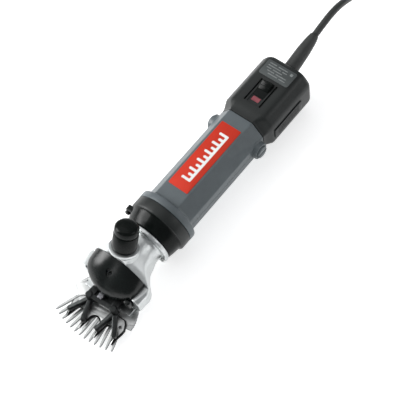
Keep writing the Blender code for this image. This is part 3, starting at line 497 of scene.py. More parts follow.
def build_motor_housing():
    def body(grow=0.0):
        return section(BODY_WIDTH + grow, BODY_HEIGHT + grow, chamfer=BODY_CHAMFER + grow)

    wall = 2.4
    inner = section(BODY_WIDTH - wall, BODY_HEIGHT - wall, chamfer=BODY_CHAMFER - wall,
                    radius=1.5)
    loops = [(0.15, circle(32.9)), (0.45, circle(33.5)), (1.1, circle(FLANGE_RADIUS)),
             (6.4, circle(FLANGE_RADIUS)), (7.4, circle(33.3)), (7.95, circle(32.2)),
             (8.1, body(2.2))]
    loops += [(8.2 + 0.5 * i, body(2.0 * (1 - i / 8) ** 2.2 + 0.02)) for i in range(9)]
    loops += [(20.0, body()), (70.0, body()), (128.9, body()), (129.5, body(-0.2)),
              (129.85, body(-0.6)), (129.85, inner), (0.15, inner)]
    housing = loft("housing_shell", loops, cyclic=True)
    profile = [(0, 32.4), (8.5, 32.4), (9.1, 32.1), (9.4, 31.5), (9.4, 28.6), (9.9, 27.4),
               (11.2, 26.4), (11.2, 25.5), (0, 25.5)]
    join(housing, *[turned(f"boss_{side}", profile, (0, BRUSH_Y, 0), (side, 0, 0), 64)
                    for side in (-1, 1)])
    cut(housing, rod("cap_bore", 7.5, (-37, BRUSH_Y, 0), (37, BRUSH_Y, 0)))
    # the parting line of the moulding, along both sides
    grooves = [box(f"parting_{side}", (side * 27.4 - 0.35, 12, -0.25),
                   (side * 27.4 + 0.35, 108, 0.25)) for side in (-1, 1)]
    cut(housing, *grooves)
    finish_piece(housing, ["motor_housing"], "grey_housing")


def build_label():
    """A plain red film with a generic comb motif in white."""
    low = BODY_HEIGHT + 0.12
    middle_y, half_length = (26.7 + 114.5) / 2, (114.5 - 26.7) / 2
    film = pad("name_film", (12.45, half_length, 1.0), (0, middle_y), low, low + 0.35)
    soften(film, 0.1, 2)
    finish_piece(film, ["name_label"], "red_label")
    ink_low, ink_high = low + 0.30, low + 0.40
    tooth, pitch, count = 2.9, 6.1, 11
    start = middle_y - pitch * (count - 1) / 2
    bars = []
    for i in range(count):
        y = start + pitch * i
        long = 5.2 if i % 2 == 0 else 3.4
        bars.append(pad(f"motif_tooth_{i}", (long, tooth / 2, 1.1), (3.4 - long + 1.6, y),
                        ink_low, ink_high))
    spine = pad("label_motif", (1.5, pitch * (count - 1) / 2 + tooth / 2, 1.2), (4.6, middle_y),
                ink_low, ink_high)
    join(spine, *bars)
    finish_piece(spine, [], "white_plastic", materials=[WHITE_INK])


# ---- rear cap


def guard_point(along):
    tilt = math.radians(14.0)
    return Vector((0.0, 209.5 + along * math.cos(tilt), 9.4 + along * math.sin(tilt)))


def cap_section(inset=0.0, trim=0.0, radius=12.0):
    off = inset + trim
    return section(CAP_WIDTH - off, CAP_TOP - off, floor=CAP_FLOOR - off, chamfer=33.3 - off,
                   under=33.1 - off, radius=radius)


def build_rear_cap():
    wall = 3.0

    def blend(t):
        """The outline on its way from the narrow neck to the full cap."""
        share = ease(t)
        small = section(BODY_WIDTH, BODY_HEIGHT)
        return [(a[0] + (b[0] - a[0]) * share, a[1] + (b[1] - a[1]) * share)
                for a, b in zip(small, cap_section())]

    loops = [(130.15, section(BODY_WIDTH - 0.5, BODY_HEIGHT - 0.5, chamfer=BODY_CHAMFER - 0.5)),
             (130.5, section(BODY_WIDTH, BODY_HEIGHT))]
    loops += [(131.5 + 12.0 * i / 10, blend(i / 10)) for i in range(11)]
    loops += [(160.0, cap_section()), (190.0, cap_section())]
    loops += [(203.0 + 6.5 * math.sin(a), cap_section(trim=4.8 * (1 - math.cos(a))))
              for a in np.linspace(0.0, 1.45, 12)]
    loops += [
        (209.5, cap_section(trim=5.0)), (209.5 - wall, cap_section(inset=wall, trim=4.5, radius=1.5)),
        (199.0, cap_section(inset=wall, radius=1.5)), (143.0, cap_section(inset=wall, radius=1.5)),
        (132.0, section(BODY_WIDTH - wall, BODY_HEIGHT - wall, chamfer=BODY_CHAMFER - wall,
                        radius=1.5)),
    ]
    cap = loft("cap_shell", loops, cyclic=True, bottom=len(loops) - 5)
    floor = CAP_TOP - 1.2
    way_y = 163.5
    grooves = [pad(f"groove_{side}", (1.0, 15.6, 0.9), (side * 9.65, way_y), floor - 1.4, 40)
               for side in (-1, 1)]
    cut(cap,
        pad("slide_way", (7.0, 15.4, 0.8), (0, way_y), floor, 40),
        pad("mark_seat", (5.0, 3.0, 0.6), (0, 155.0), floor - 1.0, 40),
        pad("stem_slot", (2.0, 7.6, 0.8), (0, 167.0), 10, 40),
        rod("guard_hole", 7.2, guard_point(-12), guard_point(12)))
    cut(cap, *grooves)
    soften(cap, 0.35, 3, 38)
    finish_piece(cap, ["rear_cap"], "black_plastic")


def build_rating_plate():
    low = CAP_TOP + 0.1
    middle = (0, 193.0)
    sheet = pad("rating_sheet", (18.6, 10.0, 2.2), middle, low, low + 0.5)
    soften(sheet, 0.15, 2)
    finish_piece(sheet, ["rating_plate"], "plate_metal")
    top = low + 0.5
    rows = []
    marks = ((-15, -6), (-4, 8), (-15, 1), (3, 9), (-15, -9), (-7, 5), (-12, -3), (-1, 12),
             (-9, 3), (5, 13))
    for i, (start, end) in enumerate(marks):
        y = middle[1] + 6.6 - 3.1 * (i // 2)
        rows.append(pad(f"plate_row_{i}", ((end - start) / 2, 0.5, 0.3), ((start + end) / 2, y),
                        top - 0.05, top + 0.06))
    ink = pad("plate_rows", (1.6, 1.6, 0.5), (13.6, middle[1] + 5.6), top - 0.05, top + 0.06)
    join(ink, *rows)
    finish_piece(ink, [], "plate_metal", materials=[PLATE_INK])


def build_filter_cover():
    low, high = CAP_WIDTH + GAP, CAP_WIDTH + GAP + 1.0
    cover = box("filter_cover", (low, 144.0, -7.0), (high, 190.0, 7.0))
    soften(cover, 0.45, 3)
    slots = [box(f"filter_slot_{i}", (high - 0.3, 149.0, -5.0 + 2.2 * i),
                 (high + 1, 185.0, -4.2 + 2.2 * i)) for i in range(5)]
    cut(cover, *slots)
    finish_piece(cover, ["air_filter_cover"], "black_plastic")


def build_slider():
    floor = CAP_TOP - 1.2
    low = floor + GAP
    front, rear = 166.0, 178.4
    bm = bmesh.new()
    side_view = [(front + 0.6, low), (rear - 0.5, low), (rear - 0.5, low + 1.8),
                 (rear - 1.2, CAP_TOP + 4.2), (rear - 2.4, CAP_TOP + 4.8)]
    ridge_start, ridge_end = rear - 3.4, front + 5.6
    for i in range(5):
        y = ridge_start + (ridge_end - ridge_start) * i / 4
        height = CAP_TOP + 4.6 - 0.25 * i
        side_view += [(y, height), (y - 0.5, height - 0.5), (y - 0.95, height - 0.5)]
    side_view += [(front + 4.2, CAP_TOP + 2.9), (front + 1.0, low + 1.4)]
    left = [bm.verts.new((-6.0, y, z)) for y, z in side_view]
    right = [bm.verts.new((6.0, y, z)) for y, z in side_view]
    bridge(bm, left, right)
    bm.faces.new(left)
    bm.faces.new(right)
    face_outwards(bm)
    slider = from_bmesh("slider_thumb", bm)
    join(slider, box("slider_foot", (-6.6, 158.7, low + 0.12), (6.6, rear - 0.2, low + 0.85)),
         box("slider_stem", (-1.6, 170.0, 17.4), (1.6, 174.0, low + 0.6)))
    soften(slider, 0.22, 2, 28)
    finish_piece(slider, ["switch_slider"], "black_plastic", "switch", [KNOB_BLACK])


# ---- cord

CORD_RADIUS = 3.9
GUARD_LENGTH = 50.0
CORD_ROUTE = [
    (0.0, 275.0, 58.4), (-0.4, 290.0, 59.0), (-1.4, 304.0, 55.4), (-3.2, 318.0, 47.8),
    (-6.0, 332.0, 37.4), (-9.6, 346.0, 26.6), (-13.8, 361.0, 16.6), (-18.0, 376.0, 9.2),
    (-21.4, 391.0, 6.0), (-23.2, 402.0, 5.5),
]


def build_guard():
    profile = [(0, GUARD_LENGTH), (4.1, GUARD_LENGTH), (4.6, GUARD_LENGTH - 0.4),
               (5.0, GUARD_LENGTH - 1.4), (5.8, 45.0), (6.6, 39.0), (7.2, 33.0), (7.6, 27.0),
               (7.8, 21.0), (8.0, 15.0), (8.15, 9.0), (8.3, 4.4), (8.2, 3.4), (7.8, 3.0),
               (6.6, 2.9), (6.6, -5.8), (8.6, -5.8), (8.6, -7.6), (0, -7.6)]
    guard = turned("guard_sleeve", profile, guard_point(0), guard_point(1) - guard_point(0), 64)
    finish_piece(guard, ["cord_guard"], "cord_rubber")


def catmull(points, spacing):
    points = [np.array(p, float) for p in points]
    padded = [2 * points[0] - points[1]] + points + [2 * points[-1] - points[-2]]
    route = []
    for a, b, c, d in zip(padded, padded[1:], padded[2:], padded[3:]):
        count = max(1, round(float(np.linalg.norm(c - b)) / spacing))
        for t in np.arange(count) / count:
            route.append(0.5 * (2 * b + (c - a) * t + (2 * a - 5 * b + 4 * c - d) * t * t
                                + (3 * b - a - 3 * c + d) * t ** 3))
    route.append(points[-1])
    return route


def hank_route():
    """The hank: an inner column wound upwards, then an outer one wound down around it."""
    low, high = cad_ends("cord_hank")
    diameter = 2 * CORD_RADIUS
    half = (high.x - low.x) / 2
    outer = half - CORD_RADIUS
    inner = outer - diameter
    near, far = low.y + half, high.y - half
    bottom = low.z + CORD_RADIUS
    top_layer = round((high.z - low.z) / diameter) - 1
    quarters = (("left", 16), ("far", 18), ("right", 16), ("near", 18))
    points = []
    last = 2 * top_layer
    for turn in range(last + 1):
        for number, (quarter, steps) in enumerate(quarters if turn < last else quarters[:1]):
            for k in range(steps):
                s = k / steps
                if turn < top_layer:
                    radius = inner
                    rise = turn + (ease(s) if quarter == "right" else number // 3)
                elif turn == top_layer:
                    radius = inner + diameter * (ease((s - 0.5) * 2) if number == 0 else 1)
                    rise = top_layer
                else:
                    radius = outer
                    rise = last + 1 - turn - (ease(s * 2) if quarter == "left" else 1)
                if quarter == "left":
                    x, y = -radius, near + (far - near) * s
                elif quarter == "right":
                    x, y = radius, far + (near - far) * s
                else:
                    centre = far if quarter == "far" else near
                    a = math.pi * (1 - s) if quarter == "far" else -math.pi * s
                    x, y = radius * math.cos(a), centre + radius * math.sin(a)
                points.append((x, y, bottom + diameter * rise))
    points.append((-outer, far, bottom))
    return points, near, bottom, inner, outer, far


def build_cord():
    start = guard_point(GUARD_LENGTH + GAP)
    winding, near, bottom, inner, outer, far = hank_route()
    route = [tuple(start)] + [(x, y, GROUND + z) for x, y, z in CORD_ROUTE]
    route += [(-inner, near - 14, bottom), (-inner, near - 1, bottom)]
    plug_low = cad_ends("plug_body")[0]
    plug = cad_middle("plug_body")
    points = catmull(route, 6.0)[:-1] + [np.array(p) for p in winding]
    tail = [(-outer, far, bottom), (-outer, far + 14, bottom), (plug.x, far + 30, bottom + 0.6),
            (plug.x, plug_low.y - 8, plug.z), (plug.x, plug_low.y + 1.0, plug.z)]
    points += catmull(tail, 5.0)[1:]
    curve = bpy.data.curves.new("power_cord", "CURVE")
    curve.dimensions = "3D"
    curve.bevel_depth = CORD_RADIUS * MM
    curve.bevel_resolution = 5
    curve.use_fill_caps = True
    spline = curve.splines.new("POLY")
    spline.points.add(len(points) - 1)
    for point, place in zip(spline.points, points):
        point.co = (*to_world(place), 1)
    spline.use_smooth = True
    cord = add_object("power_cord", curve)
    finish_piece(cord, ["mains_cord", "cord_hank", "mains_cord_end"], "cord_rubber")
    tie = build_tie()
    body = build_plug()


def build_tie():
    """A releasable strap round the middle of the hank."""
    low, high = cad_ends("cord_hank")
    band_low, band_high = cad_ends("cord_tie")
    wide, gap, edge = 1.3, 0.25, 0.35
    middle = (low.z + high.z) / 2
    half_x, half_z = (high.x - low.x) / 2, (high.z - low.z) / 2
    rims = (  # y, distance outside the hank, corner radius
        (band_low.y + edge, wide, 5.2), (band_high.y - edge, wide, 5.2),
        (band_high.y, wide - edge, 4.9), (band_high.y, gap, 4.1), (band_low.y, gap, 4.1),
        (band_low.y, wide - edge, 4.9))
    loops = [(y, [(x, middle + z) for x, z in
                  rounded_rectangle(half_x + grow, half_z + grow, radius, steps=8)])
             for y, grow, radius in rims]
    return finish_piece(loft("hank_tie", loops, cyclic=True), ["cord_tie"], "black_plastic")


def build_plug():
    low, high = cad_ends("plug_body")
    middle = (low + high) / 2
    stations = [  # y from the cord end, half width, half height
        (0, 4.9, 4.9), (6, 5.5, 5.3), (8, 6.1, 5.6), (12, 8.6, 6.2), (16, 11.6, 6.9),
        (20, 12.5, 7.15), (30, 12.6, 7.2), (36.6, 12.5, 7.1), (37.6, 12.1, 6.7), (38, 11.4, 6.0),
    ]
    loops = []
    for y, width, height in smooth_rows(stations, 48):
        outline = rounded_rectangle(width, height, min(width, height) * 0.86, steps=8)
        loops.append((low.y + y, [(middle.x + x, middle.z + z) for x, z in outline]))
    body = loft("plug_moulding", loops)
    grips = []
    for side in (-1, 1):
        for i in range(4):
            y = low.y + 22 + 3.2 * i
            x = middle.x + side * 12.9
            grips.append(rod(f"grip_{side}_{i}", 0.9, (x, y, middle.z - 5), (x, y, middle.z + 5), 16))
    for name in ("plug_pin_left", "plug_pin_right"):
        pin = cad_middle(name)
        grips.append(rod(f"hole_{name}", 2.7, (pin.x, high.y - 6, pin.z), (pin.x, high.y + 4, pin.z)))
    cut(body, *grips)
    soften(body, 0.25, 2, 40)
    return finish_piece(body, ["plug_body"], "black_plastic")


# ---- brush caps


def build_brush_caps():
    for name, side in SIDES:
        profile = [(0, 34.4), (5.9, 34.4), (6.7, 34.2), (7.1, 33.7), (7.2, 33.1), (7.2, 27.2),
                   (0, 27.2)]
        cap = turned(f"brush_screw_{name}", profile, (0, BRUSH_Y, 0), (side, 0, 0), 64)
        ends = sorted((side * 33.2, side * 36))
        cut(cap, box(f"slot_{name}", (ends[0], BRUSH_Y - 9, -0.8), (ends[1], BRUSH_Y + 9, 0.8)))
        soften(cap, 0.15, 2, 38)
        finish_piece(cap, [f"brush_cap_{name}"], "grey_housing")


# ---- gear housing


def build_gear_housing():
    rings = (  # y, radius, height of the middle
        (-0.15, 32.9, 0), (-0.5, 33.4, 0), (-1.0, 33.5, 0), (-10.4, 33.5, 0), (-11.4, 33.2, 0),
        (-12.2, 32.4, 0), (-13.0, 31.4, 0), (-14.2, 30.9, 0), (-16.0, 30.4, -0.5),
        (-19.0, 29.9, -1.1), (-22.5, 29.0, -2.0), (-25.4, 28.0, -2.8), (-26.5, 27.6, -3.0),
        (-26.9, 27.0, -3.0), (-26.9, 24.6, -3.0), (-16.0, 27.6, -0.6), (-12.0, 30.6, 0),
        (-0.15, 30.6, 0))
    housing = loft("gear_case", [(y, circle(*size)) for y, *size in rings], cyclic=True)
    lug = box("lug", (-36.9, -16.9, -0.9), (-27.5, -10.2, 7.9))
    soften(lug, 1.1, 3)
    join(housing, lug)
    soften(housing, 0.3, 2, 40)
    housing.data.materials.append(FINISH["black_plastic"])
    housing.data.materials.append(KNOB_BLACK)
    # the front of the casting, ahead of the round flange, is glossier and painted a darker black:
    # painted shade where the front shows a dark recess
    edge, half_width = to_world((0, -12.3, 0)).y, 32.5 * MM
    for face in housing.data.polygons:
        face.material_index = int(face.center.y < edge and abs(face.center.x) < half_width)
    finish_piece(housing, ["gear_housing"], "black_plastic")
    build_screw("clamp_bolt", "clamp_screw", "dark_steel",
                [(0, 2.5), (2.0, 2.5), (2.5, 2.2), (2.75, 1.7), (2.8, 0.0), (0, 0)],
                (-33.8, -17.0, 3.6), (0, -1, 0), (1.3, 1.5))


def build_screw(name, node, slot, profile, base, along, socket, steps=40):
    """A screw whose head has a six-sided socket, given as its radius and its depth."""
    screw = turned(name, profile, base, along, steps)
    radius, depth = socket
    top = max(s for _, s in profile)
    cut(screw, turned("socket", [(0, top + 1), (radius, top + 1), (radius, top - depth),
                                 (0, top - depth)], base, along, 6))
    finish_piece(screw, [node], slot)


# ---- head

KNOB_BASE = Vector((0.0, -54.5, 29.0))
KNOB_LEAN = math.radians(25.3)
KNOB_AXIS = Vector((0, math.sin(KNOB_LEAN), math.cos(KNOB_LEAN)))
HEAD_FLOOR = 27.9
PIVOT_Y = -66.0
FLANGE_SCREW_X, FLANGE_SCREW_Z = 24.7, -8.0
BED_SCREW_X, BED_SCREW_Y = 12, -90
COVER_SCREW_Y = -82.5
TILT = math.radians(45)


def knob_point(along):
    return KNOB_BASE + KNOB_AXIS * along


HEAD_STEPS = 5


def head_section(width, top, chamfer, floor, under, radius):
    return section(width, top, floor=floor, chamfer=chamfer, under=under, radius=radius,
                   angle=TILT, steps=HEAD_STEPS)


def head_circle(radius, drop):
    return circle(radius, drop, TILT, HEAD_STEPS)


HEAD_STATIONS = [  # y, width, top, chamfer, floor, under, radius
    (-87.5, 38.6, 10.0, 24.0, 27.9, 41.0, 3.0), (-80.0, 39.1, 16.5, 25.2, 27.9, 41.0, 3.2),
    (-72.5, 39.4, 22.0, 26.0, 27.9, 41.0, 4.0),
    (-67.0, 36.4, 25.0, 26.0, 27.9, 39.0, 6.0), (-61.0, 30.0, 25.5, 26.0, 27.4, 34.0, 9.0),
    (-54.0, 24.8, 23.4, 24.5, 26.5, 28.5, 12.0), (-47.0, 23.2, 20.4, 22.4, 25.0, 26.4, 14.0),
]


def bed_hole(side):
    """A cutter for the screw holes that the head's bed and the comb share."""
    x = side * BED_SCREW_X
    return rod(f"bed_hole_{side}", 2.6, (x, BED_SCREW_Y, -40), (x, BED_SCREW_Y, -20))


def build_head():
    rings = (  # y, radius, height of the middle
        (-27.3, 27.4, -3.0), (-27.7, 27.9, -3.0), (-28.2, 28.0, -3.0), (-31.2, 28.0, -3.0),
        (-31.8, 27.6, -3.0), (-32.1, 27.0, -3.0), (-32.2, 23.2, -2.5), (-33.4, 22.1, -2.4),
        (-36.0, 21.9, -2.4), (-40.0, 22.2, -2.2))
    loops = [(y, head_circle(*size)) for y, *size in rings]
    loops += [(y, head_section(*size)) for y, *size in smooth_rows(HEAD_STATIONS, 26)[::-1]]
    head = loft("head_body", loops)
    parts = [rod("nut_boss", 15.3, knob_point(-22), knob_point(-4), 72),
             box("bed", (-30, -97, -HEAD_FLOOR), (30, -80, -HEAD_FLOOR + 3.0))]
    for side in (-1, 1):
        parts.append(turned(
            f"screw_boss_{side}", [(0, 0.9), (3.6, 0.9), (3.9, 0.5), (3.9, -2.0), (0, -2.0)],
            (side * FLANGE_SCREW_X, -32.0, FLANGE_SCREW_Z), (0, -1, 0), 40))
    join(head, *parts)
    inner_floor = HEAD_FLOOR - 3.0
    hollow = (
        (-47.0, 19.8, 17.4, 19.4, 21.8, 23.4, 11), (-54.0, 21.4, 20.0, 21.0, 23.2, 25.0, 9),
        (-61.0, 26.4, 21.0, 22.4, inner_floor, 26.4, 6),
        (-68.0, 30.5, 21.0, 23.4, inner_floor, 36, 2),
        (-99.0, 30.5, 21.0, 23.4, inner_floor, 36, 2))
    cavity = loft("cavity", [(-33.4, head_circle(19.6, -2.4))]
                  + [(y, head_section(*size)) for y, *size in hollow])
    cut(head, cavity, box("cover_room", (-50, -110, -0.5), (50, -68.0, 60)),
        rod("nut_seat", 15.7, knob_point(-3.9), knob_point(14), 64),
        rod("nut_bore", 8.0, knob_point(-30), knob_point(4)),
        rod("crank_bore", 8.3, (0, -36, -15), (0, -20, -15)))
    recast(head, 0.55, rounds=7)
    holes = []
    for side in (-1, 1):
        x = side * FLANGE_SCREW_X
        holes += [rod(f"flange_hole_{side}", 1.8, (x, -40, FLANGE_SCREW_Z), (x, -20, FLANGE_SCREW_Z)),
                  bed_hole(side)]
    cut(head, *holes)
    finish_piece(head, ["head_casting"], "cast_aluminium")
    for name, side in SIDES:
        build_screw(f"flange_screw_{name}", f"head_screw_{name}", "screw_steel",
                    [(0, 2.9), (1.9, 2.9), (2.35, 2.6), (2.5, 2.0), (2.5, 0.1), (1.5, 0.1),
                     (1.5, -4.2), (0, -4.2)],
                    (side * FLANGE_SCREW_X, -32.9, FLANGE_SCREW_Z), (0, -1, 0), (1.25, 1.5), 48)


def build_cover():
    """The glossy front cover: two lobes with a valley between them."""
    stations = [  # y, half width, height of the rim, height of the top, depth of the valley
        (-98.4, 5.0, -5.4, -1.5, 0.16), (-96.6, 12.5, -4.5, 2.0, 0.48),
        (-93.0, 21.0, -3.0, 6.5, 1.0), (-88.0, 27.8, -1.0, 11.5, 1.4),
        (-82.0, 31.2, -0.1, 16.5, 1.6), (-75.0, 32.0, -0.1, 21.0, 1.4),
        (-68.3, 32.0, -0.1, 24.5, 0.6),
    ]
    rows = smooth_rows(stations, 44)
    bm = bmesh.new()
    count = 64
    rings = []
    for y, width, rim, top, valley in rows:
        ring = []
        for t in np.linspace(0, math.pi, count + 1):
            x = width * math.cos(t)
            rise = math.sin(t) ** 0.8 if 0 < t < math.pi else 0.0
            dip = valley * math.exp(-((x / 7.0) ** 2))
            ring.append(bm.verts.new((x, y, rim + (top - rim) * rise - dip)))
        rings.append(ring)
    for near, far in zip(rings, rings[1:]):
        bridge(bm, near, far, closed=False)
    bm.faces.new(rings[0][::-1])
    bmesh.ops.recalc_face_normals(bm, faces=bm.faces)
    if sum(face.normal.z for face in bm.faces) < 0:
        bmesh.ops.reverse_faces(bm, faces=bm.faces)
    cover = from_bmesh("front_cover", bm, 0)
    shell = cover.modifiers.new("Shell", "SOLIDIFY")
    shell.thickness = 1.8 * MM
    shell.offset = -1
    shell.use_even_offset = False
    settle(cover, 45)
    cut(cover, turned("cover_hole", [(0, 30), (4.0, 30), (4.0, 15.2), (2.7, 13.6), (2.7, 0), (0, 0)],
                      (0, COVER_SCREW_Y, 0), steps=48))
    # a foot on the right side only, which closes the gap beside the fork
    foot = box("cover_foot", (24.4, -94.2, -13.2), (31.6, -88.2, -0.7))
    soften(foot, 2.2, 5)
    join(cover, foot)
    soften(cover, 0.4, 3, 50)
    finish_piece(cover, ["head_cover"], "gloss_black")
    build_screw("cover_bolt", "cover_screw", "dark_steel",
                [(0, 10.4), (1.9, 10.4), (2.3, 9.9), (2.3, 0), (0, 0)],
                (0, COVER_SCREW_Y, 2.0), (0, 0, 1), (1.2, 1.6))


def build_tension():
    collar = [(14.6, -0.6), (15.1, -0.8), (15.3, -1.3), (15.3, -3.3), (15.0, -3.6), (7.6, -3.6),
              (7.6, -13.0), (3.6, -13.0), (3.6, 15.6), (7.6, 15.6), (7.6, -0.6)]
    finish_piece(turned("knob_collar", collar, KNOB_BASE, KNOB_AXIS, 96, ring=True),
                 ["tension_collar"], "cast_aluminium")
    length = 29.2
    knob = [(0, length), (4.0, length - 0.08), (7.5, length - 0.4), (9.6, length - 0.9),
            (10.6, length - 1.4), (11.3, length - 2.1), (12.0, 26.0), (12.2, 25.4),
            (12.35, 20.6), (12.25, 20.2), (11.7, 20.0), (11.7, 19.0), (12.3, 18.8), (12.5, 18.4),
            (12.8, 1.4), (12.7, 0.5), (12.2, 0.0), (8.2, 0.0), (8.2, 18.0), (0, 18.0)]
    finish_piece(turned("knob_shell", knob, KNOB_BASE, KNOB_AXIS, 128),
                 ["tension_knob"], "gloss_black", "tension_nut", [KNOB_BLACK])


# ---- comb

COMB_TOP, COMB_THICKNESS = -28.2, 3.0
COMB_TEETH = 13
ARC_Y, ARC_RADIUS = -32.4, 109.4


def paint_shade_on_upright_faces(obj, limit=0.75):
    """Put the second material, a painted shade, on the faces that stand upright."""
    for face in obj.data.polygons:
        face.material_index = 0 if abs(face.normal.z) > limit else 1


def build_comb():
    half_angle = math.asin(76.5 / 2 / ARC_RADIUS)
    pitch = 2 * half_angle / (COMB_TEETH - 1)
    gap_bottom = ARC_RADIUS - 27.0
    outline = []

    def at(angle, radius):
        return (radius * math.sin(angle), ARC_Y - radius * math.cos(angle))

    shape = [  # tooth half width, as a share of the pitch, by distance from the tip
        (27.0, 0.28), (22.0, 0.265), (16.0, 0.245), (9.0, 0.22), (5.0, 0.19), (2.4, 0.15),
        (0.9, 0.10), (0.25, 0.055), (0.0, 0.0),
    ]
    for i in range(COMB_TEETH):
        middle = half_angle - pitch * i
        for back, share in shape:
            outline.append(at(middle + share * pitch, ARC_RADIUS - back))
        for back, share in reversed(shape[:-1]):
            outline.append(at(middle - share * pitch, ARC_RADIUS - back))
        if i < COMB_TEETH - 1:
            outline.append(at(middle - pitch * 0.38, gap_bottom - 1.0))
            outline.append(at(middle - pitch * 0.5, gap_bottom - 1.6))
            outline.append(at(middle - pitch * 0.62, gap_bottom - 1.0))
    edge = [(31.0, -84.0), (34.5, -89.0), (38.0, -97.0), (39.2, -101.5), (39.5, -106.5)]
    outline += [(-x, y) for x, y in reversed(edge)] + edge
    comb = plate("comb_plate", outline, COMB_TOP - COMB_THICKNESS, COMB_TOP)
    band = []
    for radius, angles in ((84.8, np.linspace(-0.6, 0.6, 40)), (79.0, np.linspace(0.6, -0.6, 40))):
        band += [at(angle, radius) for angle in angles]
    cutters = [plate("step_band", band, COMB_TOP - 0.55, COMB_TOP + 2)]
    for side in (-1, 1):
        cutters.append(bed_hole(side))
        cutters.append(turned(f"wear_dimple_{side}", [(0, 3), (1.1, 3), (1.1, 0), (0, 0)],
                              (side * 31.5, -92.5, COMB_TOP - 1.0), steps=24))
    cut(comb, *cutters)
    comb.data.materials.append(FINISH["cutter_steel"])
    comb.data.materials.append(COMB_FLANK_SHADE)
    # the upright faces take the painted shade
    paint_shade_on_upright_faces(comb)
    soften(comb, 0.42, 3, 35)
    finish_piece(comb, ["comb"], "cutter_steel")


# ---- fork, yokes and cutter

FORK_REST = math.radians(4.73)
HUB_X, HUB_Y = 15.4, -105.0
FEET = ((8.9, -127.4), (28.2, -124.5))


def swing(obj):
    """Turn a piece of the fork about its upright pivot to the place where it rests."""
    pivot = to_world((0, PIVOT_Y, 0))
    turn = (Matrix.Translation(pivot) @ Matrix.Rotation(FORK_REST, 4, "Z")
            @ Matrix.Translation(-pivot))
    obj.data.transform(turn)
    return obj


def beam(name, start, end, widths, tops, bottoms):
    """A tapering bar between two points, given its half width, top and bottom at each end."""
    start, end = Vector(start), Vector(end)
    across = (end - start).normalized().cross(Vector((0, 0, 1)))
    bm = bmesh.new()
    rings = []
    for place, width, top, bottom in zip((start, end), widths, tops, bottoms):
        crown = width * 0.55
        profile = [(-width, bottom), (width, bottom), (width, top - 0.9), (crown, top),
                   (-crown, top), (-width, top - 0.9)]
        rings.append([bm.verts.new((place.x + across.x * a, place.y + across.y * a, z))
                      for a, z in profile])
    bridge(bm, *rings)
    for ring in rings:
        bm.faces.new(ring)
    face_outwards(bm)
    return from_bmesh(name, bm)


def build_fork():
    slot, reach = 4.3, PIVOT_Y + 26.0
    inset = slot + 0.8
    top, bottom = -9.8, -16.5
    tine = [(inset, reach - 4.4), (inset, reach + 2.2), (7.2, reach + 2.2)]
    flank = [(7.4, reach - 6.0), (5.6, reach - 16.0), (9.0, PIVOT_Y + 2.0), (10.0, PIVOT_Y - 5.0),
             (15.0, PIVOT_Y - 14.0), (HUB_X + 3.2, HUB_Y + 2.0), (HUB_X + 2.0, HUB_Y - 2.8),
             (HUB_X - 4.0, HUB_Y - 2.2)]
    outline = [(-x, y) for x, y in reversed(tine)] + tine + flank
    outline += [(-x, y) for x, y in reversed(flank)]
    arm = plate("fork_arm", outline, bottom, top)
    pieces = []
    for side in (-1, 1):
        ends = sorted((side * slot, side * 7.9))
        pieces.append(box(f"tine_{side}", (ends[0], reach - 5.2, -17.6), (ends[1], reach + 2.6, -9)))
        pieces.append(turned(f"hub_{side}", [(0, -8.4), (3.1, -8.4), (3.8, -9.2), (3.8, -16.2),
                                             (0, -16.2)], (side * HUB_X, HUB_Y, 0), steps=40))
        pieces.append(rod(f"pin_{side}", 1.9, (side * HUB_X, HUB_Y, -21.6),
                          (side * HUB_X, HUB_Y, -10.0)))
    join(arm, *pieces)
    cut(arm, plate("window", [(-9.4, PIVOT_Y - 16.0), (9.4, PIVOT_Y - 16.0),
                              (HUB_X - 4.4, HUB_Y + 2.4), (-HUB_X + 4.4, HUB_Y + 2.4)],
                   top - 2.5, top + 3),
        rod("pivot_bore", 3.3, (0, PIVOT_Y, -30), (0, PIVOT_Y, -11.0)))
    soften(arm, 0.7, 3, 40)
    swing(arm)
    finish_piece(arm, ["fork"], "dark_steel", "fork_unit")
    seat = box("fork_seat_block", (-6.4, -103.4, top - 2.4), (-0.8, -97.8, top + 2.0))
    soften(seat, 0.6, 3)
    cut(seat, box("seat_slot", (-7.0, -101.3, top + 0.9), (-0.2, -99.9, top + 3)))
    swing(seat)
    finish_piece(seat, [], "dark_steel", "fork_unit", [SEAT_GREY])


def build_yokes():
    for name, side in SIDES:
        x = side * HUB_X
        yoke = turned(f"yoke_forging_{name}", [(0, -16.9), (3.8, -16.9), (4.4, -17.5),
                                               (4.4, -21.4), (0, -21.4)], (x, HUB_Y, 0),
                      steps=40)
        pieces = []
        web = [(x, HUB_Y - 2.0)]
        for number, (foot_x, foot_y) in enumerate(FEET):
            foot = Vector((side * foot_x, foot_y, 0))
            hub = Vector((x, HUB_Y, 0))
            away = (foot - hub).normalized()
            pieces.append(beam(f"leg_{name}_{number}", hub + away * 2.0, foot + away * 0.8, (2.6, 2.4),
                               (-16.9, -18.6), (-21.6, -23.9)))
            pieces.append(turned(f"pad_{name}_{number}", [
                (0, -18.7), (1.9, -18.7), (2.6, -19.4), (2.6, -24.1), (1.25, -24.1),
                (1.25, -26.3), (0, -26.3)], foot, steps=24))
            web.append(tuple((hub + (foot - hub) * 0.6).to_2d()))
        pieces.append(plate(f"web_{name}", web, -23.4, -21.0))
        join(yoke, *pieces)
        cut(yoke, rod(f"yoke_bore_{name}", 2.3, (x, HUB_Y, -30), (x, HUB_Y, -10)))
        soften(yoke, 0.3, 2, 35)
        swing(yoke)
        finish_piece(yoke, [f"yoke_{name}"], "dark_steel", "fork_unit")


